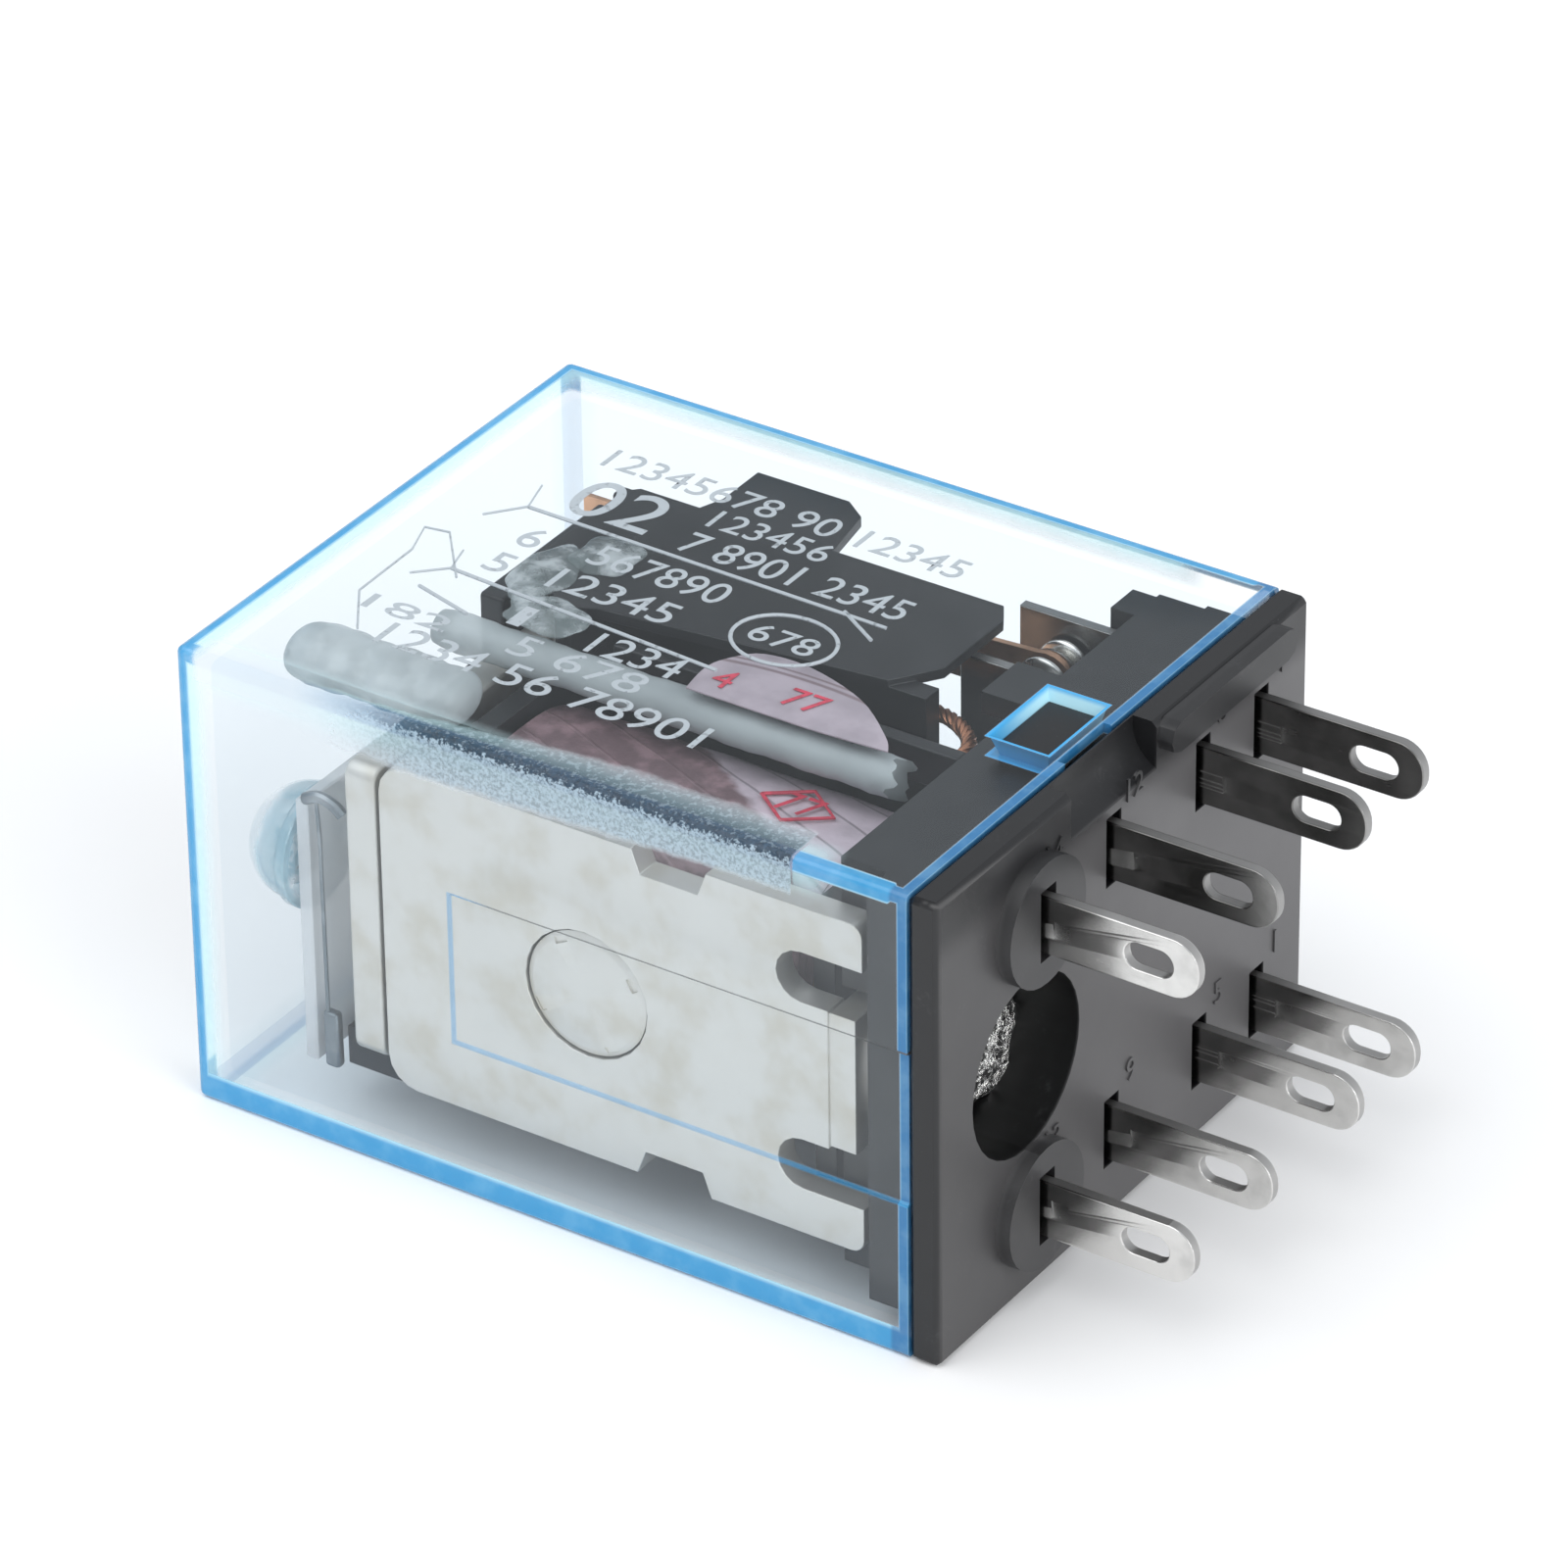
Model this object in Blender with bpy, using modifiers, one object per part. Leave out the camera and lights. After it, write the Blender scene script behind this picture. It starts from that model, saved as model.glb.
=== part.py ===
"""Plug-in power relay, two poles, lying on its wide side.

The origin is the centre of the base's seating face.  +X points out along the
blades, +Y runs away from the coil side towards the contacts, +Z is up.
All sizes below are in millimetres and are turned into metres by MM.
"""
import math

import bmesh
import bpy
from mathutils import Matrix, Vector

MM = 0.001
GAP = 0.3              # running gap kept between neighbouring pieces
RIVET_FIT = 0.15       # finer gap around the small contact rivets

# Envelope
LENGTH = 35.9          # seating face to the closed end of the cover
DEPTH = 27.5           # across the two rows of blades, along Y
HEIGHT = 21.4          # along Z
FLANGE = 1.4           # thickness of the base flange under the cover's rim
FLANGE_EDGE = 0.25     # small bevel on the flange
COVER_WALL = 0.9
WINDOW_X = (-5.1, -2.35)
WINDOW_Y = (-2.15, 2.15)

# Blades, on the socket's pattern
BLADE_OUT = 7.6        # length outside the base
BLADE_WIDTH = 2.6
BLADE_THICK = 0.5
BLADE_ROW = 6.6        # height of each row above and below the middle
BLADE_HOLE = (2.2, 1.2)
BLADE_HOLE_IN = 2.1    # tip to the centre of the oblong hole
COIL_Y = -6.95
COMMON_Y = -1.05
NO_Y = 5.65
NC_Y = 10.1
TAG_LENGTH = 1.9       # solder tag on each common blade
BOSS_RADIUS = 2.75
BOSS_RISE = 0.7

# Base block inside the cover
PLUG_DEEP = 6.2        # inner end of the block, from the seating face
PLUG_STEP = 4.0        # inner end of the step under the yoke's fingers
LEDGE = 0.1            # the block stands back from the step by this much
SHELF_RISE = 2.1       # shelf between the common and the normally open blades
SHELF_WIDTH = 2.7
CORE_HOLE_RADIUS = 3.9
CORE_HOLE_Y = -7.4
NOTCH_Y = (-4.2, 2.1)  # thumb notch in the flange
NOTCH_DEEP = 2.1
NOTCH_LIP = 0.3
NOTCH_HOLLOW = 0.4     # how far the notch curves in behind its edges
RIB_LENGTH = 9.6
RIB_RADIUS = 0.7
RIB_DOWN = 0.75        # rib's middle below the wide side

# Magnet
YOKE_THICK = 1.2
YOKE_HALF = 7.6
YOKE_CLEAR = 0.4       # yoke to the cover's inner face
HEAD_ROOM = 8.8        # yoke's end to the closed end of the cover
YOKE_NOTCH_X = (-15.0, -11.5)
YOKE_NOTCH_DEEP = 1.1
FOOT_HALF = 3.2
FOOT_X = -5.9
FOOT_REACH = 4.0       # foot beyond the core's axis
FINGER_END_X = -4.3
FINGER_SLOT_X = -8.3
FINGER_SLOT_TOP = 5.5
DISC_X = -17.3
DISC_RADIUS = 2.6
CORE_RADIUS = 2.4
STAKE_RADIUS = 1.75
STAKE_RISE = 1.9       # staked end beyond the foot
STAKE_EDGE = 0.3       # chamfer round the staked end
POLE_RISE = 0.4        # pole face inside the yoke's end

# Bobbin and winding
COIL_DROP = 5.7        # yoke's inner face to the coil's axis
SPOOL_THICK = 1.0      # flange and barrier thickness
SPOOL_HALF_Z = 6.8
SPOOL_HALF_Y = 5.3
TUBE_WALL = 0.7
WIND_HALF_Y = 4.5
WIND_HALF_Z = 5.9
WIND_CORNER = 3.4
WRAP_THICK = 0.3
BARRIER_Y = 1.0
BARRIER_END_X = -10.0
CHEEK_THICK = 0.5
CHEEK_CLEAR = 0.4      # shield to the cover's inner face
SEAT_THICK = 1.0       # return spring's seat
SEAT_HALF_Z = 1.8

# Armature and its carrier
ARM_THICK = 1.5
ARM_TIP_Y = 2.5
ARM_HALF_Z = 6.8
PULL_GAP = 0.4         # carrier's inner face stands this far inside the armature's face
CARRIER_WRAP = 3.2     # carrier's overlap behind the armature
CARRIER_THICK = 3.4
CARRIER_TIP_Y = 9.6
CARRIER_CLEAR = 0.5    # carrier to the shields

# Contacts
SPRING_Y = 8.35
SPRING_THICK = 0.3
SPRING_WIDTH = 3.4
SPRING_WAIST = 2.2
SPRING_TAIL = 1.0      # leaf's tail beyond the carrier
CONTACT_X = -8.9       # moving and NC contacts
NO_CONTACT_X = -8.1    # where the moving contact arrives when the armature is pulled in
CONTACT_RADIUS = 1.2
SHANK_RADIUS = 0.5
FIXED_HEAD = 0.4
MOVING_HEAD = 0.35
PLATE_TOP_X = -11.2
PLATE_WIDTH = 4.0
RETURN_Y = 5.0         # return spring's axis
RETURN_RADIUS = 1.1
RETURN_WIRE = 0.16
RETURN_LENGTH = 3.4    # carrier to the seat
RETURN_TURNS = 4.5

# Indicator and its wiring
LED_RADIUS = 1.95
LED_LENGTH = 3.0
LED_RIM = 0.6
LED_Y = -10.2
LED_Z = 0.9
BOARD_THICK = 0.6
BOARD_LOW = -8.0
BOARD_HIGH = 4.3
BOARD_WIDTH = 5.7
POST_HALF_Y = 1.3
POST_Y = -9.3
POST_LOW = -8.9
RESISTOR_SLEEVE_RADIUS = 1.2
RESISTOR_SLEEVE_LENGTH = 8.7
RESISTOR_SLEEVE_Y = -7.9
LEAD_SLEEVE_RADIUS = 0.85
LEAD_SLEEVE_NEAR_X = -8.0
LEAD_SLEEVE_Y = -3.3
LEAD_RADIUS = 0.35

# Places that follow from the sizes above
HALF_Y = DEPTH / 2
HALF_Z = HEIGHT / 2
CAVITY_Y = HALF_Y - COVER_WALL
CAVITY_Z = HALF_Z - COVER_WALL
CAVITY_END_X = -LENGTH + COVER_WALL
PLUG_Y = CAVITY_Y - GAP
PLUG_Z = CAVITY_Z - GAP
YOKE_OUTER_Y = -CAVITY_Y + YOKE_CLEAR
YOKE_INNER_Y = YOKE_OUTER_Y + YOKE_THICK
YOKE_END_X = -LENGTH + HEAD_ROOM
FOOT_NEAR_X = FOOT_X + YOKE_THICK
COIL_AXIS_Y = YOKE_INNER_Y + COIL_DROP
POLE_X = YOKE_END_X + POLE_RISE
SPOOL_FAR_X = POLE_X + POLE_RISE
SPOOL_NEAR_X = -PLUG_DEEP - POLE_RISE
TUBE_RADIUS = CORE_RADIUS + GAP + TUBE_WALL
CHEEK_TOP = CAVITY_Z - CHEEK_CLEAR
CHEEK_LOW = CHEEK_TOP - CHEEK_THICK
ARM_FACE_X = YOKE_END_X - GAP
ARM_BACK_X = ARM_FACE_X - ARM_THICK
CARRIER_NEAR_X = ARM_FACE_X + PULL_GAP
CARRIER_FAR_X = CARRIER_NEAR_X - CARRIER_THICK
CARRIER_HALF_Z = CHEEK_LOW - CARRIER_CLEAR
SPRING_TAIL_X = CARRIER_FAR_X - SPRING_TAIL
SEAT_FAR_X = CARRIER_NEAR_X + RETURN_LENGTH
BOARD_FAR_X = CAVITY_END_X + GAP + LED_LENGTH + GAP
BOARD_X = BOARD_FAR_X + BOARD_THICK
CONTACT_HOLE = SHANK_RADIUS + RIVET_FIT

OVER = 1.0             # how far a cutter runs past the piece it cuts
SINK = 0.1             # how far a joined block sinks into its neighbour
ARC_STEPS = 8

# ---------------------------------------------------------------- materials
FINISHES = {
    "clear_cover": ((0.80, 0.90, 0.97), 0.08, 0.0),
    "black_moulding": ((0.035, 0.036, 0.040), 0.45, 0.0),
    "tinned_brass": ((0.72, 0.71, 0.68), 0.28, 1.0),
    "nickel_steel": ((0.70, 0.68, 0.63), 0.38, 1.0),
    "silver_contact": ((0.85, 0.84, 0.80), 0.22, 1.0),
    "spring_bronze": ((0.66, 0.42, 0.26), 0.30, 1.0),
    "winding": ((0.45, 0.20, 0.10), 0.40, 0.5),
    "wrap_tape": ((0.78, 0.62, 0.66), 0.60, 0.0),
    "milky_sleeve": ((0.72, 0.78, 0.80), 0.35, 0.0),
    "led_epoxy": ((0.70, 0.85, 0.95), 0.12, 0.0),
    "board_laminate": ((0.55, 0.62, 0.60), 0.50, 0.0),
    "spring_steel": ((0.60, 0.60, 0.60), 0.30, 1.0),
}


def clear_scene():
    for obj in list(bpy.data.objects):
        bpy.data.objects.remove(obj, do_unlink=True)


def collection(name):
    group = bpy.data.collections.new(name)
    bpy.context.scene.collection.children.link(group)
    return group


def material(name):
    found = bpy.data.materials.get(name)
    if found:
        return found
    colour, roughness, metallic = FINISHES[name]
    made = bpy.data.materials.new(name)
    made.use_nodes = True
    shader = made.node_tree.nodes["Principled BSDF"]
    shader.inputs["Base Color"].default_value = (*colour, 1.0)
    shader.inputs["Roughness"].default_value = roughness
    shader.inputs["Metallic"].default_value = metallic
    return made


# ------------------------------------------------------------ shape helpers
def mm(*values):
    return Vector(values) * MM


def add_object(name, data, group, finish=None):
    obj = bpy.data.objects.new(name, data)
    group.objects.link(obj)
    if finish:
        data.materials.clear()
        data.materials.append(material(finish))
    return obj


def as_cutter(obj):
    obj.hide_render = True
    obj.display_type = 'WIRE'
    return obj


def box(name, low, high, group, finish=None):
    """A box between its lowest and its highest corner."""
    low, high = mm(*low), mm(*high)
    shape = bmesh.new()
    bmesh.ops.create_cube(shape, size=1.0)
    size = high - low
    bmesh.ops.scale(shape, vec=size, verts=shape.verts)
    data = bpy.data.meshes.new(name)
    shape.to_mesh(data)
    shape.free()
    obj = add_object(name, data, group, finish)
    obj.location = (low + high) / 2
    return obj


PLANES = {
    "XY": Matrix.Identity(4),
    "XZ": Matrix.Rotation(math.pi / 2, 4, 'X'),
    "YZ": Matrix(((0, 0, 1, 0), (1, 0, 0, 0), (0, 1, 0, 0), (0, 0, 0, 1))),
}
NORMALS = {"XY": Vector((0, 0, 1)), "XZ": Vector((0, 1, 0)), "YZ": Vector((1, 0, 0))}


def plate(name, outlines, plane, start, end, group, finish=None):
    """A flat plate: closed outlines in a plane, thick from start to end across it.
    The first outline is the edge, and further ones are holes."""
    curve = bpy.data.curves.new(name, 'CURVE')
    curve.dimensions = '2D'
    curve.fill_mode = 'BOTH'
    curve.extrude = abs(end - start) / 2 * MM
    for outline in outlines:
        spline = curve.splines.new('POLY')
        spline.points.add(len(outline) - 1)
        for point, (u, v) in zip(spline.points, outline):
            point.co = (u * MM, v * MM, 0, 1)
        spline.use_cyclic_u = True
    obj = add_object(name + "_outline", curve, group)
    middle = NORMALS[plane] * ((start + end) / 2 * MM)
    obj.matrix_world = Matrix.Translation(middle) @ PLANES[plane]
    return mesh_from_curve(name, obj, group, finish)


def mesh_from_curve(name, source, group, finish):
    bpy.context.view_layer.update()
    evaluated = source.evaluated_get(bpy.context.evaluated_depsgraph_get())
    data = bpy.data.meshes.new_from_object(evaluated)
    data.name = name
    shape = bmesh.new()
    shape.from_mesh(data)
    bmesh.ops.remove_doubles(shape, verts=shape.verts, dist=0.005 * MM)
    bmesh.ops.recalc_face_normals(shape, faces=shape.faces)
    shape.to_mesh(data)
    shape.free()
    obj = add_object(name, data, group, finish)
    obj.matrix_world = source.matrix_world
    bpy.data.objects.remove(source, do_unlink=True)
    return obj


def turned(name, profile, centre, axis, group, finish=None, steps=32):
    """A turned piece: (distance along axis, radius) pairs from the far end to the near end."""
    data = bpy.data.meshes.new(name)
    points = [(radius * MM, 0, along * MM) for along, radius in profile]
    edges = [(i, i + 1) for i in range(len(points) - 1)]
    data.from_pydata(points, edges, [])
    obj = add_object(name, data, group, finish)
    screw = obj.modifiers.new("turn", 'SCREW')
    screw.axis = 'Z'
    screw.steps = steps
    screw.render_steps = steps
    screw.use_merge_vertices = True
    screw.merge_threshold = 0.001 * MM
    screw.use_smooth_shade = True
    turn = {"X": Matrix.Rotation(math.pi / 2, 4, 'Y'), "Y": Matrix.Rotation(-math.pi / 2, 4, 'X')}
    obj.matrix_world = Matrix.Translation(mm(*centre)) @ turn[axis]
    return obj


def rod(name, start, end, radius, axis, centre, group, finish=None, steps=32):
    """A plain cylinder along X or Y, from start to end."""
    profile = [(end, 0), (end, radius), (start, radius), (start, 0)]
    return turned(name, profile, centre, axis, group, finish, steps)


def wire(name, points, radius, group, finish):
    """A round wire through the points."""
    curve = bpy.data.curves.new(name, 'CURVE')
    curve.dimensions = '3D'
    curve.bevel_depth = radius * MM
    curve.bevel_resolution = 2
    curve.use_fill_caps = True
    spline = curve.splines.new('POLY')
    spline.points.add(len(points) - 1)
    for point, place in zip(spline.points, points):
        point.co = (*mm(*place), 1)
    return add_object(name, curve, group, finish)


def boolean(obj, other, operation='DIFFERENCE'):
    change = obj.modifiers.new(operation.lower(), 'BOOLEAN')
    change.object = other
    change.operation = operation
    change.solver = 'EXACT'
    as_cutter(other)
    return obj


def bevel(obj, width):
    change = obj.modifiers.new("edge", 'BEVEL')
    change.width = width * MM
    change.segments = 1
    change.limit_method = 'ANGLE'
    change.angle_limit = math.radians(50)
    return obj


def arc(cu, cv, radius, start, end, steps=ARC_STEPS):
    """Points on an arc, angles in degrees."""
    angles = [math.radians(start + (end - start) * i / steps) for i in range(steps + 1)]
    return [(cu + radius * math.cos(a), cv + radius * math.sin(a)) for a in angles]


def circle(cu, cv, radius, steps=24):
    return arc(cu, cv, radius, 0, 360, steps)[:-1]


def rounded(u0, u1, v0, v1, radius, steps=4):
    """A rectangle with round corners, anticlockwise."""
    return (arc(u1 - radius, v1 - radius, radius, 0, 90, steps)
            + arc(u0 + radius, v1 - radius, radius, 90, 180, steps)
            + arc(u0 + radius, v0 + radius, radius, 180, 270, steps)
            + arc(u1 - radius, v0 + radius, radius, 270, 360, steps))


def slot_outline(cu, cv, length, width, steps=ARC_STEPS):
    half = (length - width) / 2
    return (arc(cu + half, cv, width / 2, -90, 90, steps)
            + arc(cu - half, cv, width / 2, 90, 270, steps))


def smooth_path(knots, per_span=5):
    """A Catmull-Rom curve through the knots."""
    ends = [knots[0], *knots, knots[-1]]
    path = []
    for i in range(1, len(ends) - 2):
        a, b, c, d = (Vector(p) for p in ends[i - 1:i + 3])
        for step in range(per_span):
            t = step / per_span
            path.append(tuple(0.5 * (2 * b + (c - a) * t + (2 * a - 5 * b + 4 * c - d) * t ** 2
                                     + (3 * b - a - 3 * c + d) * t ** 3)))
    path.append(tuple(knots[-1]))
    return path


SIDES = (("upper", 1), ("lower", -1))


def band(side, low, high):
    """A stretch of Z on the upper or the lower side, as (lowest, highest)."""
    return (low, high) if side > 0 else (-high, -low)


# ------------------------------------------------------------------- casing
def make_cover(parts, cutters):
    rim_x = -FLANGE - GAP
    cover = box("cover", (-LENGTH, -HALF_Y, -HALF_Z), (rim_x, HALF_Y, HALF_Z), parts, "clear_cover")
    inside = box("cover_inside", (CAVITY_END_X, -CAVITY_Y, -CAVITY_Z), (rim_x + OVER, CAVITY_Y, CAVITY_Z),
                 cutters)
    boolean(cover, inside)
    for label, side in SIDES:
        low, high = band(side, CAVITY_Z - OVER, HALF_Z + OVER)
        window = box("cover_window_" + label, (WINDOW_X[0], WINDOW_Y[0], low), (WINDOW_X[1], WINDOW_Y[1], high),
                     cutters)
        boolean(cover, window)
    return cover


def make_base(parts, cutters):
    base = box("base", (-FLANGE, -HALF_Y, -HALF_Z), (0, HALF_Y, HALF_Z), parts, "black_moulding")
    bevel(base, FLANGE_EDGE)
    inside_x = -FLANGE / 2
    ledge_y, ledge_z = PLUG_Y - LEDGE, PLUG_Z - LEDGE
    pieces = [
        box("base_step", (-PLUG_STEP, -PLUG_Y, -PLUG_Z), (inside_x, PLUG_Y, PLUG_Z), cutters),
        box("base_block", (-PLUG_DEEP, YOKE_INNER_Y + GAP, -ledge_z), (inside_x - SINK, ledge_y, ledge_z),
            cutters),
        box("base_shelf", (-PLUG_DEEP - SHELF_RISE, NO_Y - BLADE_THICK / 2 - GAP - SHELF_WIDTH,
                           BLADE_ROW + PLATE_WIDTH / 2 - GAP),
            (-PLUG_DEEP + SINK, NO_Y - BLADE_THICK / 2 - GAP, ledge_z - LEDGE), cutters),
        box("base_corner", (CONTACT_X + CONTACT_RADIUS + GAP, NC_Y + BLADE_THICK / 2 + GAP,
                            BLADE_ROW - PLATE_WIDTH / 2),
            (-PLUG_DEEP + SINK, ledge_y - LEDGE, ledge_z - LEDGE), cutters),
    ]
    for label, side in SIDES:
        pieces.append(rod("base_boss_" + label, -SINK, BOSS_RISE, BOSS_RADIUS, "X",
                          (0, COIL_Y, side * BLADE_ROW), cutters))
        low, high = band(side, PLUG_Z - OVER, CAVITY_Z + COVER_WALL / 2)
        pieces.append(box("base_latch_" + label, (WINDOW_X[0] + GAP, WINDOW_Y[0] + GAP, low),
                          (WINDOW_X[1] - GAP, WINDOW_Y[1] - GAP, high), cutters))
    rib = slot_outline(NOTCH_Y[1] + RIB_LENGTH / 2, HALF_Z - RIB_DOWN, RIB_LENGTH, 2 * RIB_RADIUS, 4)
    pieces.append(plate("base_rib", [rib], "YZ", -SINK, RIB_RADIUS, cutters))
    for piece in pieces:
        boolean(base, piece, 'UNION')
    cut_base(base, cutters)
    return base


def cut_base(base, cutters):
    hole = rod("base_core_hole", -PLUG_DEEP, OVER, CORE_HOLE_RADIUS, "X", (0, CORE_HOLE_Y, 0), cutters)
    boolean(base, hole)
    pocket = box("base_foot_pocket", (-PLUG_DEEP - OVER, YOKE_OUTER_Y - GAP, -FOOT_HALF - GAP),
                 (FOOT_NEAR_X + GAP, COIL_AXIS_Y + FOOT_REACH + GAP, FOOT_HALF + GAP), cutters)
    boolean(base, pocket)
    upper, lower = (NOTCH_LIP - FLANGE, HALF_Z), (0, HALF_Z - NOTCH_DEEP)
    across = math.hypot(lower[0] - upper[0], NOTCH_DEEP)
    hollow = []
    for i in range(ARC_STEPS + 1):
        t = i / ARC_STEPS
        inward = NOTCH_HOLLOW * 4 * t * (1 - t) / across
        hollow.append((upper[0] + (lower[0] - upper[0]) * t - NOTCH_DEEP * inward,
                       upper[1] - NOTCH_DEEP * t - (lower[0] - upper[0]) * inward))
    scoop = [*hollow, (OVER, lower[1]), (OVER, HALF_Z + OVER), (upper[0], HALF_Z + OVER)]
    boolean(base, plate("base_notch", [scoop], "XZ", *NOTCH_Y, cutters))
    reach = BLADE_WIDTH / 2 + GAP
    half_thick = BLADE_THICK / 2 + GAP
    for y in (COIL_Y, COMMON_Y, NO_Y, NC_Y):
        for _, side in SIDES:
            low, high = band(side, BLADE_ROW - reach, BLADE_ROW + reach)
            boolean(base, box("base_slot", (-PLUG_DEEP - SHELF_RISE - OVER, y - half_thick, low),
                              (BOSS_RISE + OVER, y + half_thick, high), cutters))


# ---------------------------------------------------------------- terminals
def blade_outline(inner_points, root_x):
    """Outline of a blade in X and Z about its own middle, with a round tip.
    inner_points close the outline inside the base."""
    half = BLADE_WIDTH / 2
    tip = arc(BLADE_OUT - half, 0, half, -90, 90, 12)
    return [(root_x, -half), *tip, (root_x, half), *inner_points]


def make_terminal(name, y, side, inner_points, root_x, parts, holes=()):
    edge = blade_outline(inner_points, root_x)
    eye = slot_outline(BLADE_OUT - BLADE_HOLE_IN, 0, *BLADE_HOLE)
    outlines = [[(x, side * (BLADE_ROW + z)) for x, z in line] for line in (edge, eye, *holes)]
    start, end = y - BLADE_THICK / 2, y + BLADE_THICK / 2
    return plate(name, outlines, "XZ", start, end, parts, "tinned_brass")


def make_terminals(parts):
    inner_x = SPOOL_NEAR_X + GAP
    half = BLADE_WIDTH / 2
    tag_low = SPOOL_HALF_Z + GAP - BLADE_ROW
    tag = [(inner_x - TAG_LENGTH, half), (inner_x - TAG_LENGTH, tag_low), (inner_x, tag_low)]
    plate_half = PLATE_WIDTH / 2
    shoulder_x = -PLUG_DEEP - GAP
    wide = [(shoulder_x, plate_half), (PLATE_TOP_X, plate_half), (PLATE_TOP_X, -plate_half),
            (shoulder_x, -plate_half)]
    for label, side in SIDES:
        make_terminal("coil_terminal_" + label, COIL_Y, side, [], inner_x, parts)
        make_terminal("common_terminal_" + label, COMMON_Y, side, tag, inner_x, parts)
        for kind, y, contact_x in (("no", NO_Y, NO_CONTACT_X), ("nc", NC_Y, CONTACT_X)):
            hole = circle(contact_x, 0, CONTACT_HOLE, 16)
            make_terminal(kind + "_terminal_" + label, y, side, wide, shoulder_x, parts, [hole])


def contact_rivet(name, x, y, side, heads, parts):
    """A contact rivet through a leaf whose middle is at x and y.
    heads is (thickness towards -Y, thickness towards +Y, half the leaf's thickness)."""
    back, front, half_leaf = heads
    seat = half_leaf + RIVET_FIT
    dome = CONTACT_RADIUS * 0.75
    profile = [(seat + front, 0), (seat + front, dome), (seat + front / 2, CONTACT_RADIUS),
               (seat, CONTACT_RADIUS), (seat, SHANK_RADIUS), (-seat, SHANK_RADIUS),
               (-seat, CONTACT_RADIUS), (-seat - back / 2, CONTACT_RADIUS), (-seat - back, dome),
               (-seat - back, 0)]
    return turned(name, profile, (x, y, side * BLADE_ROW), "Y", parts, "silver_contact", 24)


def make_contacts(parts):
    tail = FIXED_HEAD * 0.6
    half_blade = BLADE_THICK / 2
    for label, side in SIDES:
        contact_rivet("no_contact_" + label, NO_CONTACT_X, NO_Y, side, (tail, FIXED_HEAD, half_blade), parts)
        contact_rivet("nc_contact_" + label, CONTACT_X, NC_Y, side, (FIXED_HEAD, tail, half_blade), parts)
        heads = (MOVING_HEAD, MOVING_HEAD, SPRING_THICK / 2)
        contact_rivet("moving_contact_" + label, CONTACT_X, SPRING_Y, side, heads, parts)


# ------------------------------------------------------------------- magnet
def yoke_outline():
    """The yoke's long plate in X and Z: a middle tongue, two fingers, and a notch in each long edge."""
    half = YOKE_HALF
    slot_middle = (FOOT_HALF + FINGER_SLOT_TOP) / 2
    slot_radius = (FINGER_SLOT_TOP - FOOT_HALF) / 2
    slot_end = arc(FINGER_SLOT_X + slot_radius, slot_middle, slot_radius, 270, 90)
    finger_round = 0.6
    end_round = 1.4
    splay = 0.4
    deep = half - YOKE_NOTCH_DEEP
    top = [(FOOT_X, FOOT_HALF), *slot_end, (FINGER_END_X, FINGER_SLOT_TOP),
           *arc(FINGER_END_X - finger_round, half - finger_round, finger_round, 0, 90, 4),
           (YOKE_NOTCH_X[1], half), (YOKE_NOTCH_X[1] - splay, deep), (YOKE_NOTCH_X[0] + splay, deep),
           (YOKE_NOTCH_X[0], half), *arc(YOKE_END_X + end_round, half - end_round, end_round, 90, 180, 4)]
    return top + [(x, -z) for x, z in reversed(top)]


def make_yoke(parts, cutters):
    """The L-shaped frame: a long plate with finger ends, and a foot that takes the core."""
    hole = circle(DISC_X, 0, DISC_RADIUS + GAP)
    yoke = plate("yoke", [yoke_outline(), hole], "XZ", YOKE_OUTER_Y, YOKE_INNER_Y, parts, "nickel_steel")
    foot = box("yoke_foot", (FOOT_X, YOKE_OUTER_Y + SINK, SINK - FOOT_HALF),
               (FOOT_NEAR_X, COIL_AXIS_Y + FOOT_REACH, FOOT_HALF - SINK), cutters)
    boolean(yoke, foot, 'UNION')
    bore = rod("yoke_core_hole", FOOT_X - OVER, FOOT_NEAR_X + OVER, STAKE_RADIUS + GAP, "X",
               (0, COIL_AXIS_Y, 0), cutters)
    boolean(yoke, bore)
    return yoke


def make_yoke_disc(parts):
    return rod("yoke_disc", YOKE_OUTER_Y, YOKE_INNER_Y, DISC_RADIUS, "Y", (DISC_X, 0, 0), parts,
               "nickel_steel")


def make_core(parts):
    shoulder = FOOT_X - GAP
    end = FOOT_NEAR_X + STAKE_RISE
    profile = [(end, 0), (end, STAKE_RADIUS - STAKE_EDGE), (end - STAKE_EDGE, STAKE_RADIUS),
               (shoulder, STAKE_RADIUS), (shoulder, CORE_RADIUS), (POLE_X, CORE_RADIUS), (POLE_X, 0)]
    return turned("core", profile, (0, COIL_AXIS_Y, 0), "X", parts, "nickel_steel")


def cheek_outline():
    """The shield over each pair of leaf springs, with its stop tab, in X and Y."""
    edge_y = SPRING_Y
    tab_y = edge_y + 3.7
    far_x = CARRIER_FAR_X + 1.3
    tab_x = SPOOL_FAR_X + SPOOL_THICK
    near_x = BARRIER_END_X - CHEEK_CLEAR
    return [(far_x, BARRIER_Y + 0.6), (far_x, edge_y - 0.5), (far_x + 0.5, edge_y), (tab_x - 0.4, edge_y),
            (tab_x, edge_y + 1.1), (tab_x, tab_y), (tab_x + 4.5, tab_y), (tab_x + 5.6, tab_y - 0.8),
            (tab_x + 6.1, edge_y), (near_x - 0.6, edge_y), (near_x, edge_y - 1.0), (near_x, BARRIER_Y + 2.0),
            (near_x - 1.4, BARRIER_Y), (tab_x + 0.6, -0.6), (SPOOL_FAR_X + 0.2, -1.3)]


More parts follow.
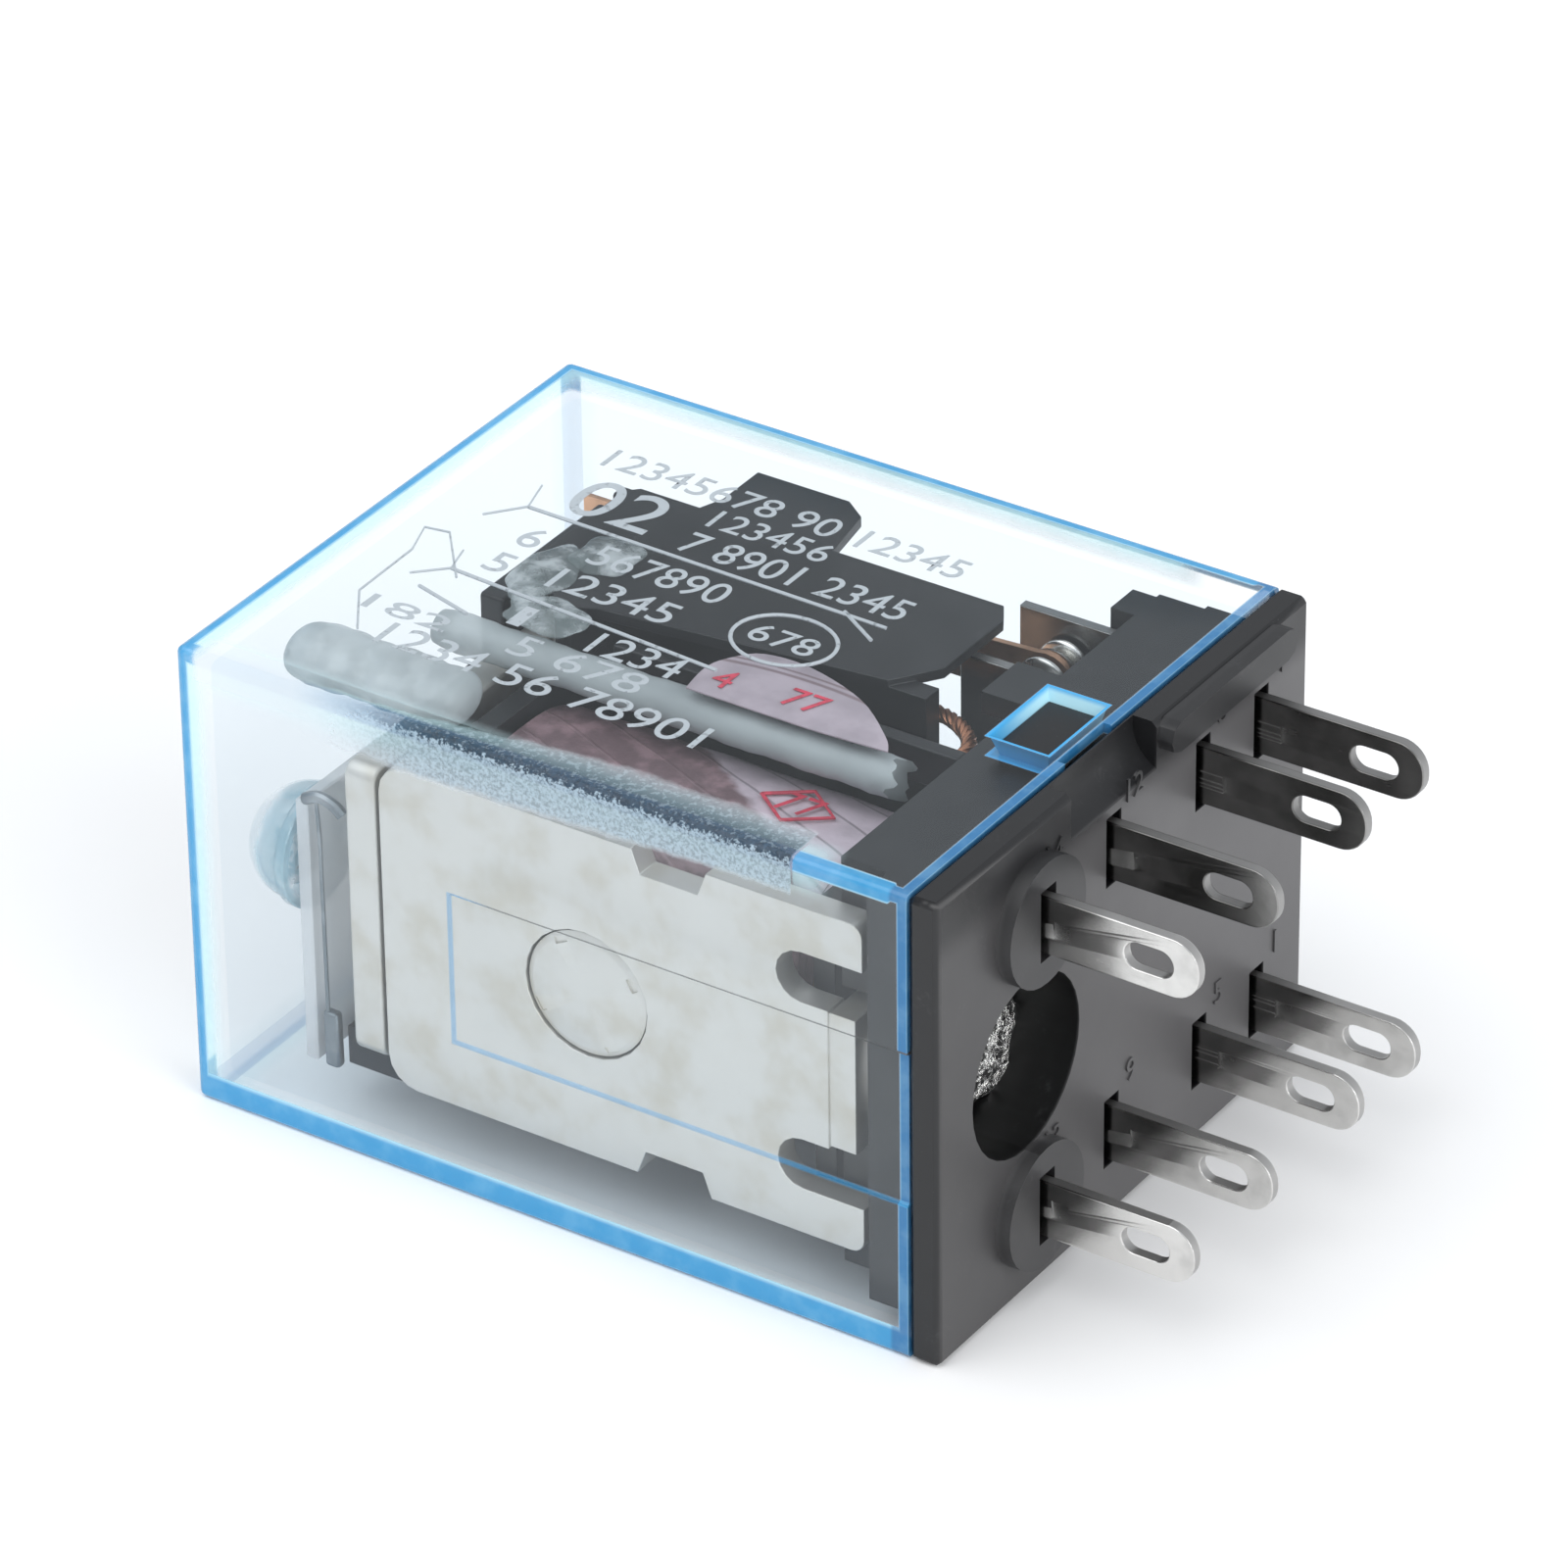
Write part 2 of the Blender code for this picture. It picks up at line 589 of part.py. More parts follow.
def make_bobbin(parts, cutters):
    low_y, high_y = COIL_AXIS_Y - SPOOL_HALF_Y, COIL_AXIS_Y + SPOOL_HALF_Y
    far_x = SPOOL_FAR_X + SPOOL_THICK
    near_x = SPOOL_NEAR_X - SPOOL_THICK
    flange_y = ARM_TIP_Y - SINK
    neck_y = BARRIER_Y - 2.4
    bobbin = box("bobbin", (SPOOL_FAR_X, low_y, -SPOOL_HALF_Z), (far_x, flange_y, SPOOL_HALF_Z), parts,
                 "black_moulding")
    neck_z = CHEEK_LOW + SINK
    barrier_z = neck_z + SINK
    pieces = [
        box("spool_near", (near_x, low_y, -SPOOL_HALF_Z), (SPOOL_NEAR_X, high_y, SPOOL_HALF_Z), cutters),
        rod("spool_tube", far_x - SINK, near_x + SINK, TUBE_RADIUS, "X", (0, COIL_AXIS_Y, 0), cutters),
        box("spool_neck", (SPOOL_FAR_X + SINK, neck_y, -neck_z), (far_x - SINK, flange_y - SINK, neck_z),
            cutters),
        box("spool_barrier", (SPOOL_FAR_X + 2 * SINK, BARRIER_Y, -barrier_z),
            (BARRIER_END_X, BARRIER_Y + SPOOL_THICK, barrier_z), cutters),
        box("spool_spring_seat", (SEAT_FAR_X, BARRIER_Y + 2 * SINK, -SEAT_HALF_Z),
            (SEAT_FAR_X + SEAT_THICK, RETURN_Y + RETURN_RADIUS + GAP, SEAT_HALF_Z), cutters),
        box("spool_post", (BOARD_X + GAP, POST_Y - POST_HALF_Y, POST_LOW),
            (far_x - 2 * SINK, POST_Y + POST_HALF_Y, -ARM_HALF_Z - GAP), cutters),
        box("spool_post_root", (SPOOL_FAR_X + SINK, POST_Y - POST_HALF_Y + SINK, POST_LOW + SINK),
            (far_x - SINK, POST_Y + POST_HALF_Y - SINK, OVER - SPOOL_HALF_Z), cutters),
    ]
    for label, side in SIDES:
        low, high = band(side, CHEEK_LOW, CHEEK_TOP)
        pieces.append(plate("spool_cheek_" + label, [cheek_outline()], "XY", low, high, cutters))
    for piece in pieces:
        boolean(bobbin, piece, 'UNION')
    bore = rod("spool_bore", SPOOL_FAR_X - OVER, SPOOL_NEAR_X + OVER, CORE_RADIUS + GAP, "X",
               (0, COIL_AXIS_Y, 0), cutters)
    boolean(bobbin, bore)
    return bobbin


def coil_section(grow):
    """The winding's rounded section, made larger all round by grow."""
    half_y, half_z = WIND_HALF_Y + grow, WIND_HALF_Z + grow
    return rounded(COIL_AXIS_Y - half_y, COIL_AXIS_Y + half_y, -half_z, half_z, WIND_CORNER + grow, 6)


def make_winding(parts):
    start = SPOOL_FAR_X + SPOOL_THICK + GAP
    end = SPOOL_NEAR_X - SPOOL_THICK - GAP
    bore = circle(COIL_AXIS_Y, 0, TUBE_RADIUS + GAP)
    plate("winding", [coil_section(0), bore], "YZ", start, end, parts, "winding")
    wrap = [coil_section(GAP + WRAP_THICK), coil_section(GAP)]
    plate("coil_wrap", wrap, "YZ", start, end, parts, "wrap_tape")


# ----------------------------------------------------------- moving pieces
def make_armature(parts):
    heel_y = YOKE_OUTER_Y + YOKE_THICK / 8
    edge = rounded(heel_y, ARM_TIP_Y, -ARM_HALF_Z, ARM_HALF_Z, YOKE_THICK / 2)
    return plate("armature", [edge], "YZ", ARM_BACK_X, ARM_FACE_X, parts, "nickel_steel")


def make_carrier(parts, cutters):
    """The moulded block on the armature's free end that holds both leaf springs."""
    back_x = ARM_BACK_X - GAP
    wrap_y = ARM_TIP_Y - CARRIER_WRAP
    inner_y = ARM_TIP_Y + GAP
    edge = [(CARRIER_FAR_X, wrap_y), (back_x, wrap_y), (back_x, inner_y), (CARRIER_NEAR_X, inner_y),
            (CARRIER_NEAR_X, CARRIER_TIP_Y), (CARRIER_FAR_X, CARRIER_TIP_Y)]
    carrier = plate("carrier", [edge], "XY", -CARRIER_HALF_Z, CARRIER_HALF_Z, parts, "black_moulding")
    half_slot = SPRING_THICK / 2 + GAP
    for label, side in SIDES:
        low, high = band(side, BLADE_ROW - SPRING_WIDTH / 2 - GAP, CARRIER_HALF_Z + OVER)
        slot = box("carrier_slot_" + label, (CARRIER_FAR_X - OVER, SPRING_Y - half_slot, low),
                   (CARRIER_NEAR_X + OVER, SPRING_Y + half_slot, high), cutters)
        boolean(carrier, slot)
    return carrier


def make_leaf_springs(parts):
    half = SPRING_WIDTH / 2
    waist = SPRING_WAIST / 2
    tip = CONTACT_RADIUS + 0.1
    neck_x = CONTACT_X - 2 * tip
    wide_x = CARRIER_NEAR_X + 2.0
    waist_x = wide_x + 2.5
    edge = [(SPRING_TAIL_X, -half), (wide_x, -half), (waist_x, -waist), (neck_x, -waist),
            *arc(CONTACT_X, 0, tip, -110, 110, 12), (neck_x, waist), (waist_x, waist), (wide_x, half),
            (SPRING_TAIL_X, half)]
    hole = circle(CONTACT_X, 0, CONTACT_HOLE, 16)
    start, end = SPRING_Y - SPRING_THICK / 2, SPRING_Y + SPRING_THICK / 2
    for label, side in SIDES:
        lines = [[(x, side * (BLADE_ROW + z)) for x, z in line] for line in (edge, hole)]
        plate("moving_spring_" + label, lines, "XZ", start, end, parts, "spring_bronze")


def make_return_spring(parts):
    """A small compression spring between the carrier and the bobbin's seat."""
    steps = 14
    clear = GAP + RETURN_WIRE
    start, end = CARRIER_NEAR_X + clear, SEAT_FAR_X - clear
    count = int(RETURN_TURNS * steps)
    points = []
    for i in range(count + 1):
        angle = 2 * math.pi * i / steps
        x = start + (end - start) * i / count
        points.append((x, RETURN_Y + RETURN_RADIUS * math.cos(angle), RETURN_RADIUS * math.sin(angle)))
    return wire("return_spring", points, RETURN_WIRE, parts, "spring_steel")


def make_flexible_leads(parts):
    """The braided leads from the leaf springs to the common blades' tags."""
    leaf_y = SPRING_Y - SPRING_THICK / 2 - GAP - LEAD_RADIUS
    tag_y = COMMON_Y + BLADE_THICK / 2 + GAP + LEAD_RADIUS
    tag_x = SPOOL_NEAR_X + GAP - TAG_LENGTH + LEAD_RADIUS
    tag_z = BLADE_ROW + BLADE_WIDTH / 2 - LEAD_RADIUS
    root_x = CARRIER_NEAR_X + 1.6
    run_y = BARRIER_Y + SPOOL_THICK + 1.5
    knots = [(root_x, leaf_y, BLADE_ROW), (root_x + 0.9, leaf_y - 0.5, BLADE_ROW),
             (root_x + 2.2, run_y + 1.9, BLADE_ROW), (root_x + 5.9, run_y + 0.5, BLADE_ROW),
             (-15.0, run_y, 6.7), (-11.0, run_y - 0.2, 7.0), (tag_x - 1.1, tag_y + 2.35, 7.3),
             (tag_x - 0.1, tag_y + 1.05, 7.5), (tag_x, tag_y, tag_z)]
    for label, side in SIDES:
        path = smooth_path([(x, y, side * z) for x, y, z in knots], 3)
        wire("flexible_lead_" + label, path, LEAD_RADIUS, parts, "spring_bronze")


# ---------------------------------------------------------------- indicator
def make_indicator(parts):
    board_y = LED_Y - LED_RADIUS - LEDGE
    box("led_board", (BOARD_FAR_X, board_y, BOARD_LOW), (BOARD_X, board_y + BOARD_WIDTH, BOARD_HIGH), parts,
        "board_laminate")
    seat = BOARD_FAR_X - GAP
    radius = LED_RADIUS * 0.9
    dome_x = seat - LED_LENGTH + radius
    dome = arc(dome_x, 0, radius, 90, 180)
    profile = [(seat, 0), (seat, LED_RADIUS), (seat - LED_RIM, LED_RADIUS), (seat - LED_RIM, radius),
               *dome[:-1], (dome_x - radius, 0)]
    turned("led", profile, (0, LED_Y, LED_Z), "X", parts, "led_epoxy", 28)


def make_sleeves(parts):
    low_x = CAVITY_END_X + 2 * GAP
    top = CAVITY_Z - GAP
    resistor_z = top - RESISTOR_SLEEVE_RADIUS
    sleeve("resistor_sleeve", low_x, low_x + RESISTOR_SLEEVE_LENGTH, RESISTOR_SLEEVE_Y, resistor_z,
           RESISTOR_SLEEVE_RADIUS, parts)
    lead_z = SPOOL_HALF_Z + 1.5 * GAP + LEAD_SLEEVE_RADIUS
    sleeve("lead_sleeve", BOARD_X, LEAD_SLEEVE_NEAR_X, LEAD_SLEEVE_Y, lead_z, LEAD_SLEEVE_RADIUS, parts)


def sleeve(name, start, end, y, z, radius, parts):
    """A round-ended sleeve along X, as a turned piece."""
    nose = radius * 0.6
    curve = [(nose * u, radius * v) for u, v in arc(0, 0, 1, 0, 90, 4)]
    near = [(end - nose + u, v) for u, v in curve]
    far = [(start + nose - u, v) for u, v in reversed(curve)]
    near[0] = (end, 0)
    far[-1] = (start, 0)
    return turned(name, near + far, (0, y, z), "X", parts, "milky_sleeve", 20)


def main():
    clear_scene()
    parts = collection("plug_in_relay")
    cutters = collection("cutters")
    make_cover(parts, cutters)
    make_base(parts, cutters)
    make_terminals(parts)
    make_contacts(parts)
    make_yoke(parts, cutters)
    make_yoke_disc(parts)
    make_core(parts)
    make_bobbin(parts, cutters)
    make_winding(parts)
    make_armature(parts)
    make_carrier(parts, cutters)
    make_leaf_springs(parts)
    make_return_spring(parts)
    make_flexible_leads(parts)
    make_indicator(parts)
    make_sleeves(parts)
    bpy.context.view_layer.update()


main()
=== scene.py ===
"""A two-pole plug-in relay in a clear case, finished for display.

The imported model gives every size.  Lengths in the shape code are in millimetres
and become metres in mm().  +X points out along the blades, +Y runs from the coil
side to the contact side and +Z is up.
"""

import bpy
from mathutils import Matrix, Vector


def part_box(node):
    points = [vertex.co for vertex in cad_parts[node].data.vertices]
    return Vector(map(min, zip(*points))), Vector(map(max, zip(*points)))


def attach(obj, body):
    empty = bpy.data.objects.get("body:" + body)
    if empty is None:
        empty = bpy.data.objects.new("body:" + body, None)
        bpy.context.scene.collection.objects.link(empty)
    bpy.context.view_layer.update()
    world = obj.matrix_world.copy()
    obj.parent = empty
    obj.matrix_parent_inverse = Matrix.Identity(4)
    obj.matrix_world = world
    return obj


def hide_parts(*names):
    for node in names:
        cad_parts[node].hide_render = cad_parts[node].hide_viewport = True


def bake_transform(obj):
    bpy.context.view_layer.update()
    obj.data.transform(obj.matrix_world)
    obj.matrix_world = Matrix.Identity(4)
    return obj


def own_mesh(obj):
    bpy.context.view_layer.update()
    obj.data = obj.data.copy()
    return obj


bl_info = {
    "name": "Clear case relay",
    "version": (1, 0, 0),
    "blender": (4, 5, 0),
    "location": "View3D > Sidebar > Relay",
    "description": "Adds the case, base, blades, coil, contacts and indicator of a plug-in relay",
    "category": "Object",
}

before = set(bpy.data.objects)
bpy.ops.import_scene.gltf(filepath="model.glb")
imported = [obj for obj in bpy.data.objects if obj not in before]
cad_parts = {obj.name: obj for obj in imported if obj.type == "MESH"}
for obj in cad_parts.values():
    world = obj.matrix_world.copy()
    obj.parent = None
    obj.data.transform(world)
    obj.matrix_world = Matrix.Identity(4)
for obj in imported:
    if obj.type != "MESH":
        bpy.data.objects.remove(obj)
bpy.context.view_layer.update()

import math

import bmesh
import bpy
from bpy.props import FloatProperty, FloatVectorProperty, IntProperty, PointerProperty
from mathutils import Matrix, Vector

MM = 0.001
SIDES = (("upper", 1), ("lower", -1))


def node_box(name):
    """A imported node's lowest and highest corners, in millimetres."""
    low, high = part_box(name)
    return [c / MM for c in low], [c / MM for c in high]


CASE_LOW, CASE_HIGH = node_box("cover")
YOKE_HIGH = node_box("yoke")[1]
DISC_LOW, DISC_HIGH = node_box("yoke_disc")
FLANGE_X = -1.4
WALL = 0.9
ROW_Z = 6.6
BLADES = {"coil": -6.95, "common": -1.05, "no": 5.65, "nc": 10.1}
RIVET_X = {"no": -8.1, "nc": -8.9}
RECESS_X, RECESS_HALF = -22.9, 3.5      # far end and half height of the cover's shallow recess
WINDOW_X, WINDOW_HALF_X, WINDOW_HALF_Y = -3.675, 1.375, 2.2


# ----------------------------------------------------------------- settings
def colour(title, about, value):
    return FloatVectorProperty(name=title, description=about, subtype='COLOR', size=3, min=0.0, max=1.0,
                               default=value)


def length(title, about, value):
    return FloatProperty(name=title, description=about, subtype='DISTANCE', unit='LENGTH', min=0.0,
                         default=value * MM, precision=5)


def share(title, about, value):
    return FloatProperty(name=title, description=about, subtype='FACTOR', min=0.0, max=1.0, default=value)


class RelayCaseSettings(bpy.types.PropertyGroup):
    tint: colour("Case tint", "Colour of the clear plastic seen face on", (0.83, 0.89, 0.94))
    through: colour("Light through", "What one surface lets through", (0.966, 0.982, 0.991))
    edge_tint: colour("Edge tint", "Colour of the plastic seen along a wall", (0.045, 0.34, 0.66))
    rim_tint: colour("Rim tint", "Colour of the rim in front of the black base", (0.03, 0.20, 0.45))
    # Painted highlight: this colour makes the pale lines along each side of the blue edges, the pale fringe
    # beside them and the pale side of the window walls.
    edge_glow: colour("Edge glow", "Pale line beside each deep edge", (0.50, 0.83, 0.94))
    # Painted light and shade: the grained strip is one frosted surface, painted as a shaded copy on the wide
    # face and a lit copy on the side face.
    grain_dark: colour("Grain shadow", "Dark half of the grained edge", (0.030, 0.055, 0.085))
    grain_light: colour("Grain light", "Light half of the grained edge", (0.36, 0.46, 0.53))
    haze: share("Haze", "How much of the plain faces hides what is behind", 0.045)
    corner: length("Corner radius", "Rounding of the outer corners", 0.3)
    edge_width: length("Edge width", "Width of the blue edges", 0.62)
    low_width: length("Low edge width", "Width of the deep band along the lower coil-side edge", 1.35)
    ink: colour("Print", "Colour of the printed marks", (0.50, 0.54, 0.57))


class RelayMouldingSettings(bpy.types.PropertyGroup):
    black: colour("Moulding", "Colour of the base and bobbin plastic", (0.0075, 0.0078, 0.009))
    # Painted light: the seat colour makes the flat seat, which faces the side light, paler than the rest of
    # the black plastic.
    seat: colour("Seat", "Colour of the base's flat seat", (0.085, 0.083, 0.085))
    scuff: colour("Scuffs", "Colour of rubbed plastic", (0.09, 0.09, 0.095))
    edge: length("Edge radius", "Rounding of moulded edges", 0.12)


class RelayMetalSettings(bpy.types.PropertyGroup):
    tin: colour("Tinned brass", "Colour of the blades", (0.74, 0.73, 0.71))
    nickel: colour("Plated steel", "Colour of the yoke and armature", (0.70, 0.685, 0.65))
    silver: colour("Silver", "Colour of the contacts", (0.90, 0.89, 0.86))
    bronze: colour("Bronze", "Colour of the leaf springs", (0.72, 0.42, 0.27))
    copper: colour("Copper", "Colour of the winding and braid", (0.62, 0.29, 0.17))
    blade_edge: length("Blade edge", "Rounding of the blades' edges", 0.05)
    eye_length: length("Eye length", "Length of the hole in each blade", 2.2)
    eye_width: length("Eye width", "Width of the hole in each blade", 1.2)


class RelayCoilSettings(bpy.types.PropertyGroup):
    paper: colour("Coil label", "Colour of the paper round the coil", (0.62, 0.52, 0.58))
    tape: colour("Coil tape", "Colour of the tape over the copper", (0.17, 0.11, 0.12))
    red_ink: colour("Label ink", "Colour of the marks on the label", (0.45, 0.03, 0.06))
    sleeve: colour("Sleeve", "Colour of the milky sleeves", (0.55, 0.60, 0.61))
    strands: IntProperty(name="Braid strands", description="Strands in each flexible lead", default=5,
                         min=3, max=9)


class RelayLampSettings(bpy.types.PropertyGroup):
    lens: colour("Lens", "Colour of the indicator's clear body", (0.50, 0.78, 0.90))
    board: colour("Board", "Colour of the small board", (0.80, 0.82, 0.84))


class RelayStageSettings(bpy.types.PropertyGroup):
    floor: colour("Floor", "Colour of the floor", (0.97, 0.97, 0.97))
    key: FloatProperty(name="Key light", description="Strength of the soft light from above", default=1.2)
    fill: FloatProperty(name="Side light", description="Strength of the light at the blades", default=2.0)
    sky: FloatProperty(name="Sky", description="Strength of the light all round", default=0.70)


# ----------------------------------------------------------------- finishes
class Signal:
    """A socket in a finish, so that sums on it are written as Python."""

    def __init__(self, finish, socket):
        self.finish = finish
        self.socket = socket

    def math(self, operation, *values):
        sockets = {i: v for i, v in enumerate(values)}
        return self.finish.node("ShaderNodeMath", {"operation": operation}, sockets)

    def __add__(self, other):
        return self.math('ADD', self, other)

    def __radd__(self, other):
        return self.math('ADD', other, self)

    def __sub__(self, other):
        return self.math('SUBTRACT', self, other)

    def __rsub__(self, other):
        return self.math('SUBTRACT', other, self)

    def __mul__(self, other):
        return self.math('MULTIPLY', self, other)

    def __rmul__(self, other):
        return self.math('MULTIPLY', other, self)

    def __truediv__(self, other):
        return self.math('DIVIDE', self, other)

    def __abs__(self):
        return self.math('ABSOLUTE', self)

    def least(self, other):
        return self.math('MINIMUM', self, other)

    def most(self, other):
        return self.math('MAXIMUM', self, other)

    def ramp(self, low, high):
        """0 below low, 1 above high, smooth between."""
        sockets = {"Value": self, "From Min": low, "From Max": high}
        return self.finish.node("ShaderNodeMapRange", {"interpolation_type": 'SMOOTHSTEP'}, sockets)


class Finish:
    """One material: a Principled surface and the nodes that feed it."""

    def __init__(self, name, **plain):
        self.material = bpy.data.materials.new(name)
        self.material.use_nodes = True
        self.tree = self.material.node_tree
        self.tree.nodes.clear()
        self.end = self.tree.nodes.new("ShaderNodeOutputMaterial")
        self.surface = self.tree.nodes.new("ShaderNodeBsdfPrincipled")
        self.tree.links.new(self.surface.outputs[0], self.end.inputs[0])
        self.place = self.node("ShaderNodeTexCoord", output="Object")
        self.set(**plain)

    def node(self, kind, settings=None, sockets=None, output=0):
        made = self.tree.nodes.new(kind)
        for key, value in (settings or {}).items():
            setattr(made, key, value)
        for key, value in (sockets or {}).items():
            self.feed(made.inputs[key], value)
        return Signal(self, made.outputs[output])

    def feed(self, socket, value):
        if isinstance(value, Signal):
            self.tree.links.new(value.socket, socket)
        elif hasattr(value, "__len__") and len(value) == 3 and len(socket.default_value) == 4:
            socket.default_value = (*value, 1.0)
        else:
            socket.default_value = value

    def set(self, **plain):
        for key, value in plain.items():
            self.feed(self.surface.inputs[key.replace("_", " ").title().replace("Ior", "IOR")], value)
        return self

    def axes(self):
        """Object X, Y and Z, in millimetres."""
        split = self.tree.nodes.new("ShaderNodeSeparateXYZ")
        self.tree.links.new(self.place.socket, split.inputs[0])
        return [Signal(self, out) * (1 / MM) for out in split.outputs]

    def stretched(self, x, y, z):
        return self.node("ShaderNodeMapping", None, {"Vector": self.place, "Scale": (x, y, z)})

    def noise(self, size, detail=3.0, where=None, roughness=0.55):
        """Cloudy noise with features of about size millimetres, from 0 to 1."""
        sockets = {"Vector": where or self.place, "Scale": 1 / (size * MM), "Detail": detail,
                   "Roughness": roughness}
        return self.node("ShaderNodeTexNoise", None, sockets)

    def blend(self, amount, first, second):
        return self.node("ShaderNodeMix", {"data_type": 'RGBA'}, {0: amount, 6: first, 7: second}, 2)

    def bump(self, height, strength, depth):
        """Bump from a height of 0 to 1 that stands for depth millimetres."""
        sockets = {"Height": height, "Strength": strength, "Distance": depth * MM}
        self.set(normal=self.node("ShaderNodeBump", None, sockets))
        return self


def moulded(name, dark, seat, rubbed, gloss):
    """Black moulded plastic with cloudy gloss, rubs and specks of dust, and painted light: a paler seat,
    darker towards its top and the coil side, with painted shade on what stands out of it and inside its round
    hole.
    """
    made = Finish(name, ior=1.5)
    x, y, z = made.axes()
    # Painted light: this mask makes the seat paler where the side light falls on it, less so at its top and
    # on what stands out of it.
    lit_seat = x.ramp(-0.12, -0.02) * (1 - z.ramp(7.6, 9.3) * 0.85) * (1 - x.ramp(0.08, 0.3) * 0.45)
    # Painted shade: the inside of the round hole in the seat is darkened.
    from_hole = (y + 7.4) * (y + 7.4) + z * z
    hole_shade = (1 - from_hole.ramp(15.0, 15.6)) * (1 - x.ramp(-0.12, -0.02)) * x.ramp(-6, -5)
    rub = made.noise(1.6, 4.0).ramp(0.56, 0.78) * made.noise(0.25, 2.0).ramp(0.45, 0.7)
    dust = made.noise(0.13, 1.0).ramp(0.76, 0.80) * made.noise(2.5, 1.0).ramp(0.55, 0.7)
    # Painted light: the seat's paleness fades towards the coil side.
    seat = made.blend(y.ramp(-11, 4), [c * 0.55 for c in seat], seat)
    plain = made.blend(lit_seat, made.blend(hole_shade, dark, [c * 0.3 for c in dark]), seat)
    made.set(base_color=made.blend((rub * 0.35).most(dust), plain, rubbed))
    cloud = made.noise(3.0, 3.0)
    made.set(roughness=gloss + cloud * 0.14)
    return made.bump(made.noise(0.9, 2.0), 0.12, 0.02).material


def plated(name, base, stain, low, high, streak):
    """Plated metal: streaks along streak (x, y, z scale), soft stains and rubbed gloss."""
    made = Finish(name, metallic=1.0)
    lines = made.noise(0.6, 4.0, made.stretched(*streak), 0.7)
    blot = made.noise(2.4, 4.0)
    made.set(base_color=made.blend(blot.ramp(0.42, 0.72) * 0.7, base, stain))
    made.set(roughness=low + blot * (high - low) + lines * 0.10)
    return made.bump(lines * 0.5 + blot, 0.15, 0.03).material


def shared(name, make, *values):
    """The finish of this name, made when it's first asked for."""
    return bpy.data.materials.get(name) or make(name, *values)


def finish_black():
    use = bpy.context.scene.relay_moulding
    return shared("black_plastic", moulded, use.black, use.seat, use.scuff, 0.34)


def finish_tin():
    """Tinned blades: rolled streaks along them, duller sheared edges, and a painted reflection of the black
    base that darkens the upper row and the blades' roots.
    """
    base = bpy.context.scene.relay_metal.tin
    made = Finish("rolled_tin", metallic=1.0)
    x, y, z = made.axes()
    # Painted reflection: upper, root and dull mark where the flat faces mirror the black base; the upper
    # blades beside the coil blade are darkened, less near their tips, and every blade along a slanted line at
    # its root.
    upper = z.ramp(-1, 1)
    root = 1 - (x - 1.7 - (abs(z) - ROW_Z) * (upper * 2 - 1) * 1.1).ramp(-0.7, 0.9)
    dull = (upper * y.ramp(-5.0, -4.0) * (0.93 - x.ramp(5.6, 7.4) * 0.2)).most(root * 0.9)
    inside = abs(y - BLADES["coil"]).least(abs(y - BLADES["common"])).least(abs(y - BLADES["no"]))
    sheared = 1 - inside.least(abs(y - BLADES["nc"])).ramp(0.17, 0.22)
    lines = made.noise(0.5, 4.0, made.stretched(0.2, 1, 1.6), 0.7)
    blot = made.noise(1.6, 4.0)
    rolled = made.blend(blot.ramp(0.40, 0.72) * 0.7, base, [c * 0.70 for c in base])
    rolled = made.blend(dull * (0.75 + blot * 0.4).least(1), rolled, [c * 0.15 for c in base])
    made.set(base_color=made.blend(sheared * 0.75, rolled, (0.36, 0.355, 0.35)))
    made.set(roughness=0.13 + blot * 0.12 + lines * 0.10 + sheared * 0.2)
    return made.bump(lines * 0.5 + blot, 0.2, 0.03).material


METALS = {  # setting, share of each channel left in a stain, roughness from and to, streaks along X, Y, Z
    "nickel_plate": ("nickel", (0.86, 0.82, 0.74), 0.38, 0.55, (0.6, 1, 1)),
    "fine_silver": ("silver", (0.6, 0.6, 0.6), 0.12, 0.3, (1, 1, 1)),
    "leaf_bronze": ("bronze", (0.55, 0.55, 0.55), 0.2, 0.4, (0.3, 1, 1)),
    "braid_copper": ("copper", (0.5, 0.5, 0.5), 0.25, 0.45, (1, 1, 1)),
}


def finish_metal(name):
    setting, left, *gloss = METALS[name]
    base = getattr(bpy.context.scene.relay_metal, setting)
    return shared(name, plated, base, [c * share_left for c, share_left in zip(base, left)], *gloss)


# ------------------------------------------------------------ shape helpers
def mm(x, y, z):
    return Vector((x, y, z)) * MM


def piece(name, mesh, body, finish, slot, *stands_for):
    """Puts a finished mesh in the scene as a piece; one that bends between bodies has no body."""
    mesh.name = name
    obj = bpy.data.objects.new(name, mesh)
    bpy.context.scene.collection.objects.link(obj)
    mesh.materials.clear()
    for made in finish if isinstance(finish, (list, tuple)) else [finish]:
        mesh.materials.append(made)
    if body:
        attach(obj, body)
    if stands_for:
        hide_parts(*stands_for)
    return obj


def smooth(mesh, degrees=35):
    """Smooth shading between sharp edges, in which the large flat faces stay flat."""
    mesh.polygons.foreach_set("use_smooth", [True] * len(mesh.polygons))
    mesh.set_sharp_from_angle(angle=math.radians(degrees))
    obj = scratch("smooth", mesh)
    change = obj.modifiers.new("flat", 'WEIGHTED_NORMAL')
    change.keep_sharp = True
    return applied(obj)


def applied(obj):
    """The mesh of an object with its modifiers and place in it; the object is removed."""
    bpy.context.view_layer.update()
    evaluated = obj.evaluated_get(bpy.context.evaluated_depsgraph_get())
    mesh = bpy.data.meshes.new_from_object(evaluated)
    mesh.transform(obj.matrix_world)
    bpy.data.objects.remove(obj, do_unlink=True)
    return mesh


def scratch(name, data):
    obj = bpy.data.objects.new(name, data)
    bpy.context.scene.collection.objects.link(obj)
    return obj


